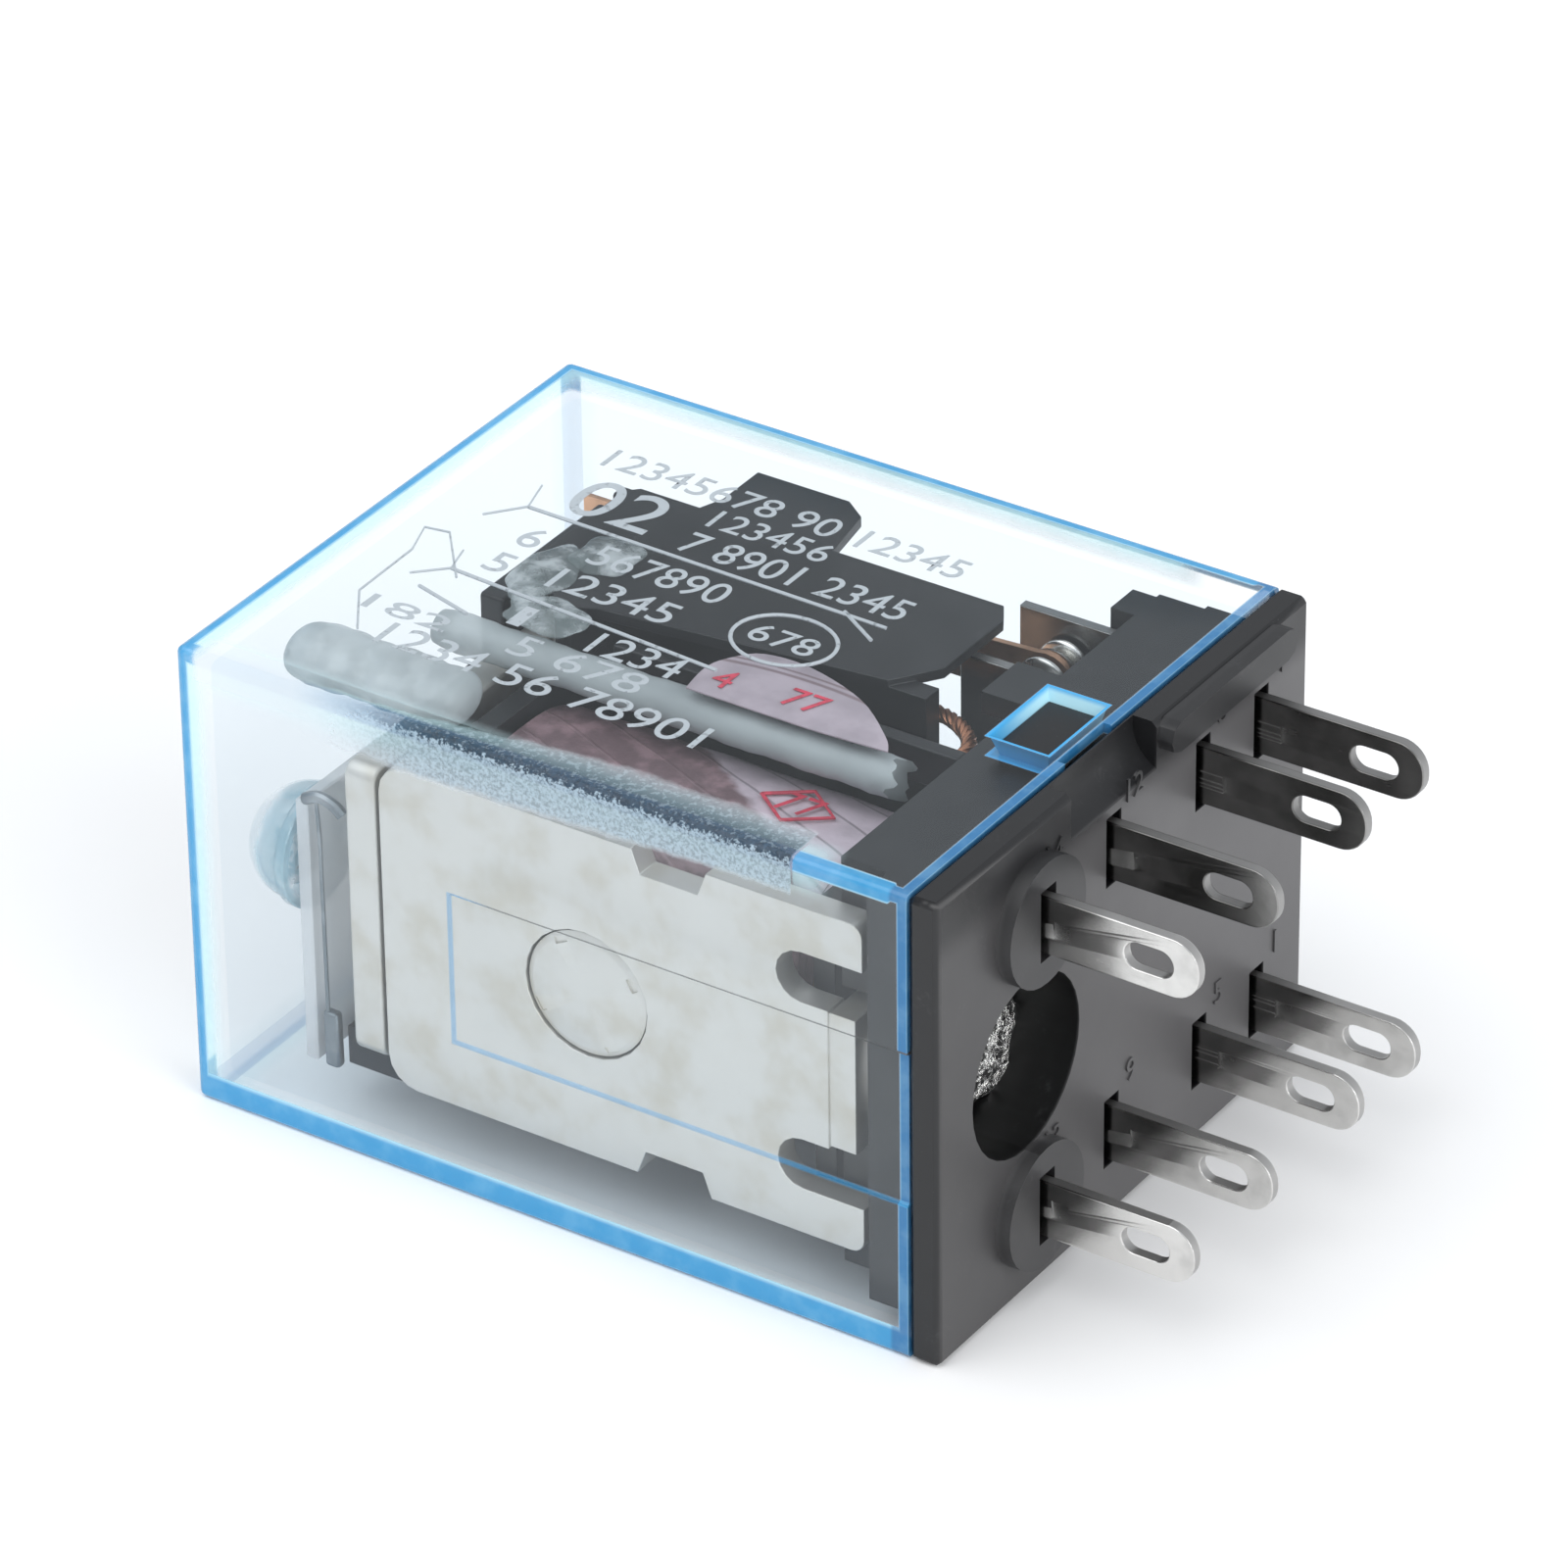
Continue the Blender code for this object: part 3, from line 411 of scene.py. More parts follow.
PLANES = {
    "XY": Matrix.Identity(4),
    "XZ": Matrix.Rotation(math.pi / 2, 4, 'X'),
}
NORMALS = {"XY": Vector((0, 0, 1)), "XZ": Vector((0, 1, 0))}


def meshed(shape):
    """The mesh of a bmesh, which is freed."""
    mesh = bpy.data.meshes.new("shape")
    shape.to_mesh(mesh)
    shape.free()
    return mesh


def blob(steps, place):
    """A ball of radius 1 with every point moved by place, which gives millimetres."""
    shape = bmesh.new()
    bmesh.ops.create_icosphere(shape, subdivisions=steps, radius=1.0)
    for vertex in shape.verts:
        vertex.co = mm(*place(vertex.co))
    return meshed(shape)


def lofted(rings, wrap=True):
    """A mesh through rows of points in millimetres; closed rows get an end face at each end."""
    shape = bmesh.new()
    rows = [[shape.verts.new(mm(*point)) for point in ring] for ring in rings]
    for a, b in zip(rows, rows[1:]):
        for k in range(len(a) - (not wrap)):
            following = (k + 1) % len(a)
            shape.faces.new((a[k], a[following], b[following], b[k]))
    if wrap:
        shape.faces.new(rows[0])
        shape.faces.new(rows[-1])
    bmesh.ops.recalc_face_normals(shape, faces=shape.faces)
    return meshed(shape)


def plate(outlines, plane, start, end, edge, rounds=2):
    """A flat plate with rounded edges, from closed outlines in a plane; later ones are holes."""
    curve = bpy.data.curves.new("plate", 'CURVE')
    curve.dimensions = '2D'
    curve.fill_mode = 'BOTH'
    curve.extrude = (abs(end - start) / 2 - edge) * MM
    curve.bevel_depth = edge * MM
    curve.bevel_resolution = rounds
    curve.offset = -edge * MM
    for outline in outlines:
        spline = curve.splines.new('POLY')
        spline.points.add(len(outline) - 1)
        for point, (u, v) in zip(spline.points, outline):
            point.co = (u * MM, v * MM, 0, 1)
        spline.use_cyclic_u = True
    obj = scratch("plate", curve)
    obj.matrix_world = Matrix.Translation(NORMALS[plane] * ((start + end) / 2 * MM)) @ PLANES[plane]
    mesh = applied(obj)
    shape = bmesh.new()
    shape.from_mesh(mesh)
    bmesh.ops.remove_doubles(shape, verts=shape.verts, dist=0.002 * MM)
    bmesh.ops.recalc_face_normals(shape, faces=shape.faces)
    shape.to_mesh(mesh)
    shape.free()
    return smooth(mesh)


def arc(cu, cv, radius, start, end, steps=8):
    angles = [math.radians(start + (end - start) * i / steps) for i in range(steps + 1)]
    return [(cu + radius * math.cos(a), cv + radius * math.sin(a)) for a in angles]


def circle(cu, cv, radius, steps=40):
    return arc(cu, cv, radius, 0, 360, steps)[:-1]


def slot_outline(cu, cv, long, wide, steps=12):
    half = (long - wide) / 2
    return arc(cu + half, cv, wide / 2, -90, 90, steps) + arc(cu - half, cv, wide / 2, 90, 270, steps)


def turned(profile, centre, axis, steps=48):
    """A turned mesh from (distance along axis, radius) pairs that start and end on the axis."""
    shape = bmesh.new()
    rings = []
    for along, radius in profile:
        if radius < 1e-6:
            rings.append([shape.verts.new((along, 0, 0))])
            continue
        angles = [2 * math.pi * i / steps for i in range(steps)]
        rings.append([shape.verts.new((along, radius * math.cos(a), radius * math.sin(a))) for a in angles])
    for ring, following in zip(rings, rings[1:]):
        for i in range(steps):
            corners = [ring[i % len(ring)], ring[(i + 1) % len(ring)], following[(i + 1) % len(following)],
                       following[i % len(following)]]
            corners = list(dict.fromkeys(corners))
            if len(corners) > 2:
                shape.faces.new(corners)
    turn = {"X": Matrix.Identity(4), "Y": Matrix(((0, 1, 0, 0), (1, 0, 0, 0), (0, 0, -1, 0), (0, 0, 0, 1)))}
    bmesh.ops.transform(shape, matrix=Matrix.Scale(MM, 4) @ Matrix.Translation(centre) @ turn[axis],
                        verts=shape.verts)
    bmesh.ops.recalc_face_normals(shape, faces=shape.faces)
    return smooth(meshed(shape), 40)


def block(low, high, radius=0.0, rounds=2):
    """A box from its lowest to its highest corner, with rounded edges."""
    low, high = mm(*low), mm(*high)
    shape = bmesh.new()
    bmesh.ops.create_cube(shape, size=1.0)
    bmesh.ops.scale(shape, vec=high - low, verts=shape.verts)
    bmesh.ops.translate(shape, vec=(low + high) / 2, verts=shape.verts)
    if radius:
        bmesh.ops.bevel(shape, geom=shape.edges[:], offset=radius * MM, segments=rounds, profile=0.5,
                        affect='EDGES')
    return smooth(meshed(shape))


def frustum(low, high, low_end, high_end, axis):
    """A tapered block along an axis: a rectangle at one end and another at the other end."""
    order = {"Z": (0, 1, 2), "Y": (0, 2, 1)}[axis]
    rings = []
    for along, ((u0, v0), (u1, v1)) in ((low, low_end), (high, high_end)):
        corners = [(u, v, along) for u, v in ((u0, v0), (u1, v0), (u1, v1), (u0, v1))]
        rings.append([[corner[i] for i in order] for corner in corners])
    return lofted(rings)


def joined(meshes):
    shape = bmesh.new()
    for mesh in meshes:
        shape.from_mesh(mesh)
    return smooth(meshed(shape))


def combined(mesh, others, operation):
    """The mesh after cutting or joining each of the others."""
    obj = scratch("combined", mesh)
    tools = []
    for other in others:
        tool = scratch("tool", other)
        change = obj.modifiers.new("change", 'BOOLEAN')
        change.operation = operation
        change.solver = 'EXACT'
        change.object = tool
        tools.append(tool)
    result = applied(obj)
    for tool in tools:
        bpy.data.objects.remove(tool, do_unlink=True)
    return result


def softened(node, width, rounds=2, degrees=40):
    """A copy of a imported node's mesh with its sharp edges rounded."""
    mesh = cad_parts[node].data.copy()
    shape = bmesh.new()
    shape.from_mesh(mesh)
    bmesh.ops.remove_doubles(shape, verts=shape.verts, dist=0.002 * MM)
    bmesh.ops.dissolve_limit(shape, angle_limit=math.radians(1.5), verts=shape.verts, edges=shape.edges)
    shape.to_mesh(mesh)
    shape.free()
    if not width:
        return smooth(mesh, degrees)
    obj = scratch("softened", mesh)
    change = obj.modifiers.new("edge", 'BEVEL')
    change.width = width * MM
    change.segments = rounds
    change.limit_method = 'ANGLE'
    change.angle_limit = math.radians(degrees)
    change.use_clamp_overlap = True
    return smooth(applied(obj), degrees)


def smooth_path(knots, per_span=6):
    """Points on a smooth curve through the knots."""
    ends = [knots[0], *knots, knots[-1]]
    path = []
    for i in range(1, len(ends) - 2):
        a, b, c, d = (Vector(p) for p in ends[i - 1:i + 3])
        for step in range(per_span):
            t = step / per_span
            path.append(0.5 * (2 * b + (c - a) * t + (2 * a - 5 * b + 4 * c - d) * t ** 2
                               + (3 * b - a - 3 * c + d) * t ** 3))
    path.append(Vector(knots[-1]))
    return path


def wire(points, radius, rounds=3):
    """A round wire through points in millimetres."""
    curve = bpy.data.curves.new("wire", 'CURVE')
    curve.dimensions = '3D'
    curve.bevel_depth = radius * MM
    curve.bevel_resolution = rounds
    curve.use_fill_caps = True
    spline = curve.splines.new('POLY')
    spline.points.add(len(points) - 1)
    for point, place in zip(spline.points, points):
        point.co = (*mm(*place), 1)
    return smooth(applied(scratch("wire", curve)), 50)


def lettering(text, size, place, turn, depth=0.02):
    """Plain figures as a thin mesh, lying in a plane turned by turn."""
    curve = bpy.data.curves.new("figures", 'FONT')
    curve.body = text
    curve.size = size * MM
    curve.extrude = depth * MM / 2
    curve.align_x = 'CENTER'
    curve.align_y = 'CENTER'
    obj = scratch("figures", curve)
    obj.matrix_world = Matrix.Translation(mm(*place)) @ turn.to_4x4()
    return applied(obj)


# ------------------------------------------------------------ node geometry
class Tree:
    """A Geometry Nodes tree under construction, with named inputs."""

    def __init__(self, name):
        self.group = bpy.data.node_groups.new(name, 'GeometryNodeTree')
        self.group.interface.new_socket("Geometry", in_out='INPUT', socket_type='NodeSocketGeometry')
        self.group.interface.new_socket("Geometry", in_out='OUTPUT', socket_type='NodeSocketGeometry')
        self.start = self.group.nodes.new("NodeGroupInput")
        self.values = {}

    def input(self, name, kind, value):
        made = self.group.interface.new_socket(name, in_out='INPUT', socket_type=kind)
        self.values[made.identifier] = value
        return self.start.outputs[name]

    def node(self, kind, settings=None, sockets=None):
        made = self.group.nodes.new(kind)
        for key, value in (settings or {}).items():
            setattr(made, key, value)
        for key, value in (sockets or {}).items():
            if isinstance(value, bpy.types.NodeSocket):
                self.group.links.new(value, made.inputs[key])
            else:
                made.inputs[key].default_value = value
        return made

    def tube(self, path, sides, radius):
        """A round tube along a curve."""
        ring = self.node("GeometryNodeCurvePrimitiveCircle", None, {"Resolution": sides, "Radius": radius})
        return self.node("GeometryNodeCurveToMesh", None, {
            "Curve": path, "Profile Curve": ring.outputs[0], "Fill Caps": True}).outputs[0]

    def made_mesh(self, geometry, finish, source=None):
        """Ends the tree in Realize Instances and Set Material and returns the plain mesh."""
        real = self.node("GeometryNodeRealizeInstances", None, {0: geometry})
        dressed = self.node("GeometryNodeSetMaterial", None, {"Geometry": real.outputs[0],
                                                               "Material": finish})
        end = self.group.nodes.new("NodeGroupOutput")
        self.group.links.new(dressed.outputs[0], end.inputs[0])
        obj = scratch("tree", source or bpy.data.meshes.new("empty"))
        change = obj.modifiers.new("tree", 'NODES')
        change.node_group = self.group
        for identifier, value in self.values.items():
            change[identifier] = value
        return smooth(applied(obj), 50)


# ---------------------------------------------------------------- operators
class RELAY_OT_case(bpy.types.Operator):
    """Adds the clear case with its deep blue edges, windows and grained corners"""
    bl_idname = "relay.case"
    bl_label = "Clear case"

    def execute(self, context):
        use = context.scene.relay_case
        shell = self.shell(use)
        piece("clear_case", shell, "relay", self.finish(use), "clear_cover", "cover")
        return {'FINISHED'}

    def shell(self, use):
        low, high = Vector(CASE_LOW), Vector(CASE_HIGH)
        rim_x = FLANGE_X - 0.02
        corner = use.corner / MM
        outer = block(low, (high.x + 4, high.y, high.z), corner, 3)
        trim = block((rim_x, low.y - 2, low.z - 2), (high.x + 8, high.y + 2, high.z + 2))
        inner = block(low + Vector((WALL, WALL, WALL)), (high.x + 6, high.y - WALL, high.z - WALL), 0.35, 2)
        cutters = [trim, inner]
        for _, side in SIDES:
            edge_z = side * high.z
            wide = ((-5.05, -2.2), (-2.3, 2.2))
            tight = ((-4.55, -1.85), (-2.5, 1.6))
            outside, inside = edge_z + side * 0.02, edge_z - side * (WALL + 0.3)
            cutters.append(frustum(outside, inside, wide, tight, "Z"))
            lip = [(rim_x - 0.35, -2.4), (rim_x + 1, -2.4), (rim_x + 1, 1.0), (rim_x - 0.35, 1.0)]
            cutters.append(plate([lip], "XY", edge_z - side * 1.3, edge_z + side * 0.5, 0.0, 0))
        cutters.append(block((RECESS_X, low.y - 1, -RECESS_HALF), (rim_x + 2, low.y + 0.16, RECESS_HALF),
                             0.1, 1))
        return smooth(combined(outer, cutters, 'DIFFERENCE'), 30)

    def finish(self, use):
        made = Finish("clear_case", ior=1.49, specular_ior_level=0.6)
        x, y, z = made.axes()
        near, back = y + CASE_HIGH[1], CASE_HIGH[1] - y
        top, bottom = CASE_HIGH[2] - z, z + CASE_HIGH[2]
        rim = FLANGE_X - x
        side, face, end = near.least(back), top.least(bottom), (x - CASE_LOW[0]).least(rim)
        skin = 1 - side.least(face).least(end).ramp(0.40, 0.55)
        beside = side.least(face).most(side.most(face).least(end))
        edge, shade = self.edges(made, use, beside, near, top, bottom, rim)
        grain, grain_colour, flake_and_glint = self.grained(made, use, x, near, top)
        upper_edge = 1 - near.most(top).ramp(1.2, 1.3)
        upper_edge = upper_edge * (1 - x.ramp(-6.7, -6.5)) * x.ramp(-35.2, -34.8)
        panel = (abs(z) - RECESS_HALF).most(RECESS_X - x)
        fine = (1 - abs(panel).ramp(0.05, 0.11)) * (1 - near.ramp(0.3, 0.4))
        cloud = made.noise(7.0, 3.0)
        haze = use.haze * (0.6 + cloud * 0.8) * (1 + (1 - near.ramp(0.3, 0.4)) * 1.1)
        pane, pane_colour = self.window(made, use, x, y, z)
        shade = made.blend(grain, shade, grain_colour)
        drawn = made.blend(z.ramp(3.0, 3.2) * x.ramp(-22.5, -20.5), use.edge_tint, (0.10, 0.105, 0.11))
        shade = made.blend(fine * (1 - grain), shade, drawn)
        shade = made.blend(pane, shade, pane_colour)
        cover = haze.most(edge * (1 - upper_edge)).most(fine * 0.45).most(grain) * skin
        made.set(base_color=shade, roughness=0.07 + grain * 0.35 + cloud * 0.05)
        made.bump(flake_and_glint * grain * 3 + made.noise(9.0, 1.0), 0.6, 0.05)
        clear = made.node("ShaderNodeBsdfTransparent", None, {0: use.through})
        mix = made.node("ShaderNodeMixShader", None, {0: cover.most(pane * 0.9).least(0.96), 1: clear,
                                                       2: Signal(made, made.surface.outputs[0])})
        made.tree.links.new(mix.socket, made.end.inputs[0])
        return made.material

    def edges(self, made, use, beside, near, top, bottom, rim):
        """How solid the blue edges are, and their colour: deep inside, with a painted highlight as a pale
        line at each side and a soft painted pale fringe beside the band.
        """
        width, low_width = use.edge_width / MM, use.low_width / MM
        at_rim = 1 - rim.ramp(0.7, 0.9)
        low_edge = near.most(bottom)
        low_band = 1 - low_edge.ramp(low_width * 0.97, low_width * 1.03)
        width = width * (1 - at_rim * 0.25)
        band = 1 - (beside / width).ramp(0.92, 1.08)
        seen_first = 1 - near.least(top).ramp(1.2, 1.5) * 0.7
        depth = (beside / width).least(low_edge / low_width * low_band + (1 - low_band) * 2)
        core = made.blend(at_rim, use.edge_tint, use.rim_tint)
        mottle = made.noise(1.4, 3.0)
        core = made.blend(mottle.ramp(0.4, 0.7) * 0.12, core, use.edge_glow)
        # Painted highlight: glow lightens a thin line at each side of a band towards the highlight colour.
        glow = (1 - depth.ramp(0.02, 0.16)).most(depth.ramp(0.80, 0.98)) * (0.75 - at_rim * 0.45)
        shade = made.blend(glow * band.most(low_band), core, use.edge_glow)
        solid = band.most(low_band)
        # Painted light: soft spreads a pale fringe of the highlight colour beside each edge, away from the
        # rim.
        soft = (1 - (beside / width).ramp(1.0, 3.4)) * rim.ramp(3.0, 4.5)
        cover = (solid * (0.80 + mottle * 0.1)).most(soft * (0.30 + mottle * 0.25)) * seen_first
        pale = made.blend(soft, use.tint, [min(1, c * 1.15) for c in use.edge_glow])
        return cover, made.blend(solid, pale, shade)

    def grained(self, made, use, x, near, top):
        """The grained strip, painted in light and shade: shaded dark with painted glints on the wide face,
        lit silvery on the side face, a ragged line between.
        """
        across = near.most(top)
        on_side = (top - near).ramp(-0.03, 0.03)
        width = (0.8 + x.ramp(-27.0, -15.0) * 1.35) * (1 - on_side) + (2.35 - x.ramp(-24, -8) * 0.6) * on_side
        speck = made.noise(0.17, 2.0, roughness=0.7)
        flake_and_glint = made.noise(0.26, 2.0, roughness=0.75)
        reach = x.ramp(-32.0, -23.0) * (1 - x.ramp(-6.75, -6.6))
        edge = across + (made.noise(1.0, 3.0) - 0.5) * 0.5
        grain = (1 - (edge / width).ramp(0.80, 1.05)) * reach
        fade = (across / width).ramp(0.25, 1.0)
        # Painted light: the wide face gets the shaded copy of the grain, sparkled with lit flakes for painted
        # glints, and the side face gets the lit copy.
        shaded_grain = made.blend(fade, use.grain_dark, [c * 0.42 for c in use.grain_light])
        dark = made.blend(flake_and_glint.ramp(0.52, 0.60) * (0.40 + fade * 0.45), shaded_grain, use.grain_light)
        dark = made.blend(1 - flake_and_glint.ramp(0.36, 0.42), dark, use.grain_dark)
        light = made.blend(speck.ramp(0.34, 0.62), [c * 0.62 for c in use.grain_light],
                           [min(1, c * 1.12) for c in use.grain_light])
        line = 1 - (across + (speck - 0.5) * 1.3).ramp(0.14, 0.42)
        tone = made.blend(line, made.blend(on_side, dark, light), [c * 0.35 for c in use.grain_dark])
        solid = 0.92 - fade * 0.3 * (1 - on_side) + (flake_and_glint - 0.5) * 0.2
        streak = line * (speck * 0.8 + x.ramp(-28.0, -20.0)).least(1) * x.ramp(-30.0, -27.5)
        streak = streak * (1 - x.ramp(-6.75, -6.6))
        return (grain * solid).most(streak * 0.9), tone, flake_and_glint

    def window(self, made, use, x, y, z):
        """The bevelled walls of the two latch windows, painted with their inner reflections: pale inside a
        bright outline.
        """
        outside = (abs(x - WINDOW_X) - WINDOW_HALF_X).most(abs(y) - WINDOW_HALF_Y)
        pane = (1 - outside.ramp(0.10, 0.14)) * abs(z).ramp(8.6, 8.8)
        # Painted reflection: the walls shade from deep blue to pale across the window, inside a brighter
        # outline.
        bright = [min(1, c * 1.25) for c in use.edge_tint]
        pale = made.blend(y.ramp(-2.3, 1.8), use.edge_tint, use.edge_glow)
        return pane, made.blend(outside.ramp(-0.10, 0.02), pale, bright)


class RELAY_OT_print(bpy.types.Operator):
    """Adds the plain figures and contact lines on the case's wide face"""
    bl_idname = "relay.print_marks"
    bl_label = "Printed marks"

    def execute(self, context):
        use = context.scene.relay_case
        ink = Finish("white_ink", roughness=0.6)
        worn = ink.noise(0.35, 3.0).ramp(0.30, 0.42)
        ink.set(base_color=ink.blend(worn, [c * 0.8 for c in use.ink], use.ink), alpha=0.55 + worn * 0.3)
        marks = [self.row(*line) for line in (
            ("12345678 90 12345", -29.9, -12.6, 8.0, 1.45), ("02", -29.3, -25.2, 4.9, 2.9),
            ("123456", -23.5, -17.9, 6.15, 1.4), ("7 8901 2345", -23.5, -12.8, 4.05, 1.6),
            ("6", -29.3, -28.3, 0.9, 1.5), ("567890", -26.0, -19.6, 1.25, 1.6),
            ("5", -29.3, -28.3, -1.4, 1.5), ("12345", -26.3, -20.5, -1.15, 1.6),
            ("678", -17.3, -14.3, -0.35, 1.3), ("1", -25.9, -25.3, -4.4, 1.5),
            ("1234", -22.1, -17.9, -4.5, 1.6),
            ("5 678", -24.7, -18.5, -6.3, 1.5), ("1234 56 78901", -29.6, -14.3, -8.3, 1.65),
            ("182", -31.6, -27.6, -6.6, 1.1))]
        oval = [(-15.8 + 2.25 * math.cos(a), -0.35 + 1.85 * math.sin(a))
                for a in (math.radians(d) for d in range(0, 361, 10))]
        for points in (((-30.4, 2.9), (-12.9, 2.6)), ((-15.0, 2.8), (-12.9, 1.5)), oval,
                       ((-30.2, -2.8), (-16.8, -3.7)), ((-31.6, 1.4), (-30.4, 2.9), (-30.9, 4.6)),
                       ((-30.5, -4.6), (-27.6, -5.4)), ((-31.4, -4.0), (-30.2, -2.8), (-30.6, -1.4)),
                       ((-29.6, -3.3), (-31.9, -0.5), (-33.0, -0.7), (-32.4, -2.4), (-32.3, -6.2),
                        (-30.6, -8.7))):
            thick = 0.09 if points is oval or points[0][0] > -31 and points[1][0] > -27.7 else 0.05
            marks.append(wire([(*p, self.level) for p in points], thick, 1))
        mesh = joined(marks)
        for vertex in mesh.vertices:
            vertex.co.z = min(vertex.co.z, (CASE_HIGH[2] - 0.01) * MM)
        piece("printed_marks", mesh, "relay", ink.material, "clear_cover")
        return {'FINISHED'}

    level = CASE_HIGH[2] - 0.06

    def row(self, text, start, end, y, tall):
        """A row of plain figures that fills the space from start to end."""
        mesh = lettering(text, 1.0, (0, 0, 0), Matrix.Identity(3))
        low = [min(v.co[i] for v in mesh.vertices) for i in (0, 1)]
        high = [max(v.co[i] for v in mesh.vertices) for i in (0, 1)]
        for vertex in mesh.vertices:
            u, v = ((vertex.co[i] - low[i]) / (high[i] - low[i]) for i in (0, 1))
            vertex.co = mm(start + u * (end - start), y + (v - 0.5) * tall, self.level + vertex.co.z / MM)
        return mesh


class RELAY_OT_base(bpy.types.Operator):
    """Adds the black base with rounded edges and its plain terminal numbers"""
    bl_idname = "relay.base"
    bl_label = "Base"

    def execute(self, context):
        use = context.scene.relay_moulding
        mesh = softened("base", use.edge / MM, 2, 38)
        piece("moulded_base", mesh, "relay", finish_black(), "black_moulding", "base")
        turn = Matrix(((0, 0, 1), (1, 0, 0), (0, 1, 0)))
        figures = []
        for y, pair in zip(BLADES.values(), ((14, 13), (12, 9), (8, 5), (4, 1))):
            for number, (_, side) in zip(pair, SIDES):
                place = (0.04, y + 1.35, side * ROW_Z + 2.1)
                figures.append(lettering(str(number), 1.5, place, turn, 0.1))
        piece("terminal_numbers", joined(figures), "relay", finish_black(), "black_moulding")
        return {'FINISHED'}


class RELAY_OT_blades(bpy.types.Operator):
    """Adds the eight blades with rounded edges, oblong eyes and coined dimples"""
    bl_idname = "relay.blades"
    bl_label = "Blades"

    def execute(self, context):
        use = context.scene.relay_metal
        tin = finish_tin()
        for kind, y in BLADES.items():
            for label, side in SIDES:
                node = f"{kind}_terminal_{label}"
                low, high = node_box(node)
                mesh = self.blade(use, kind, y, side, low, high)
                piece(f"{kind}_blade_{label}", mesh, "relay", tin, "tinned_brass", node)
        return {'FINISHED'}

    def blade(self, use, kind, y, side, low, high):
        """One blade with its inner plate; heights in the outlines count from the middle of the row."""
        half, tip_round = 1.3, 1.22
        root, tip_x = low[0], high[0]
        tip = (arc(tip_x - tip_round, tip_round - half, tip_round, -90, 0, 8)
               + arc(tip_x - tip_round, half - tip_round, tip_round, 0, 90, 8))
        holes = [slot_outline(tip_x - 2.25, 0, use.eye_length / MM, use.eye_width / MM, 18)]
        if kind == "coil":
            edge = [(root, -half), *tip, (root, half)]
        elif kind == "common":
            tag_x = root + 1.9
            tag_low = (low[2] if side > 0 else -high[2]) - ROW_Z
            edge = [(tag_x, -half), *tip, (root, half), (root, tag_low), (tag_x, tag_low)]
        else:
            neck_x, wide = -6.5, (high[2] - low[2]) / 2
            edge = [(neck_x, -half), *tip, (neck_x, half), (neck_x, wide), (root, wide), (root, -wide),
                    (neck_x, -wide)]
            holes.append(circle(RIVET_X[kind], 0, 0.66, 24))
        lines = [[(x, side * (ROW_Z + z)) for x, z in line] for line in (edge, *holes)]
        mesh = plate(lines, "XZ", y - 0.25, y + 0.25, use.blade_edge / MM, 2)
        x, z = 1.45, side * (ROW_Z - 0.1)
        wide, tight = (((x - a, z - b), (x + a, z + b)) for a, b in ((0.42, 0.45), (0.32, 0.35)))
        dimples = [frustum(y + face * 0.26, y + face * 0.21, wide, tight, "Y") for face in (-1, 1)]
        return smooth(combined(mesh, dimples, 'DIFFERENCE'), 13)


class RELAY_OT_contacts(bpy.types.Operator):
    """Adds the six silver contact rivets"""
    bl_idname = "relay.contacts"
    bl_label = "Contacts"

    def execute(self, context):
        silver = finish_metal("fine_silver")
        for label, _ in SIDES:
            for kind, body in (("no", "relay"), ("nc", "relay"), ("moving", "armature")):
                node = f"{kind}_contact_{label}"
                low, high = node_box(node)
                middle = [(a + b) / 2 for a, b in zip(low, high)]
                mesh = self.rivet(low, high, middle)
                piece(f"{kind}_rivet_{label}", mesh, body, silver, "silver_contact", node)
        return {'FINISHED'}

    def rivet(self, low, high, middle):
        """Two domed heads on a shank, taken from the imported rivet's height and width."""
        radius = (high[0] - low[0]) / 2
        span = high[1] - low[1]
        profile = frame_profile(span, radius)
        return turned(profile, (middle[0], low[1], middle[2]), "Y", 40)


def frame_profile(span, radius):
    """Height and radius pairs of a rivet, from its lower face to its upper face."""
    head = span * 0.26
    shank = 0.5
    lower = [(head * (1 - math.cos(math.radians(a))) * 0.6, radius * math.sin(math.radians(a)))
             for a in range(0, 91, 15)]
    lower.append((head * 0.9, radius))
    upper = [(span - along, size) for along, size in reversed(lower)]
    return lower + [(head, radius * 0.9), (head, shank), (span - head, shank),
                    (span - head, radius * 0.9)] + upper


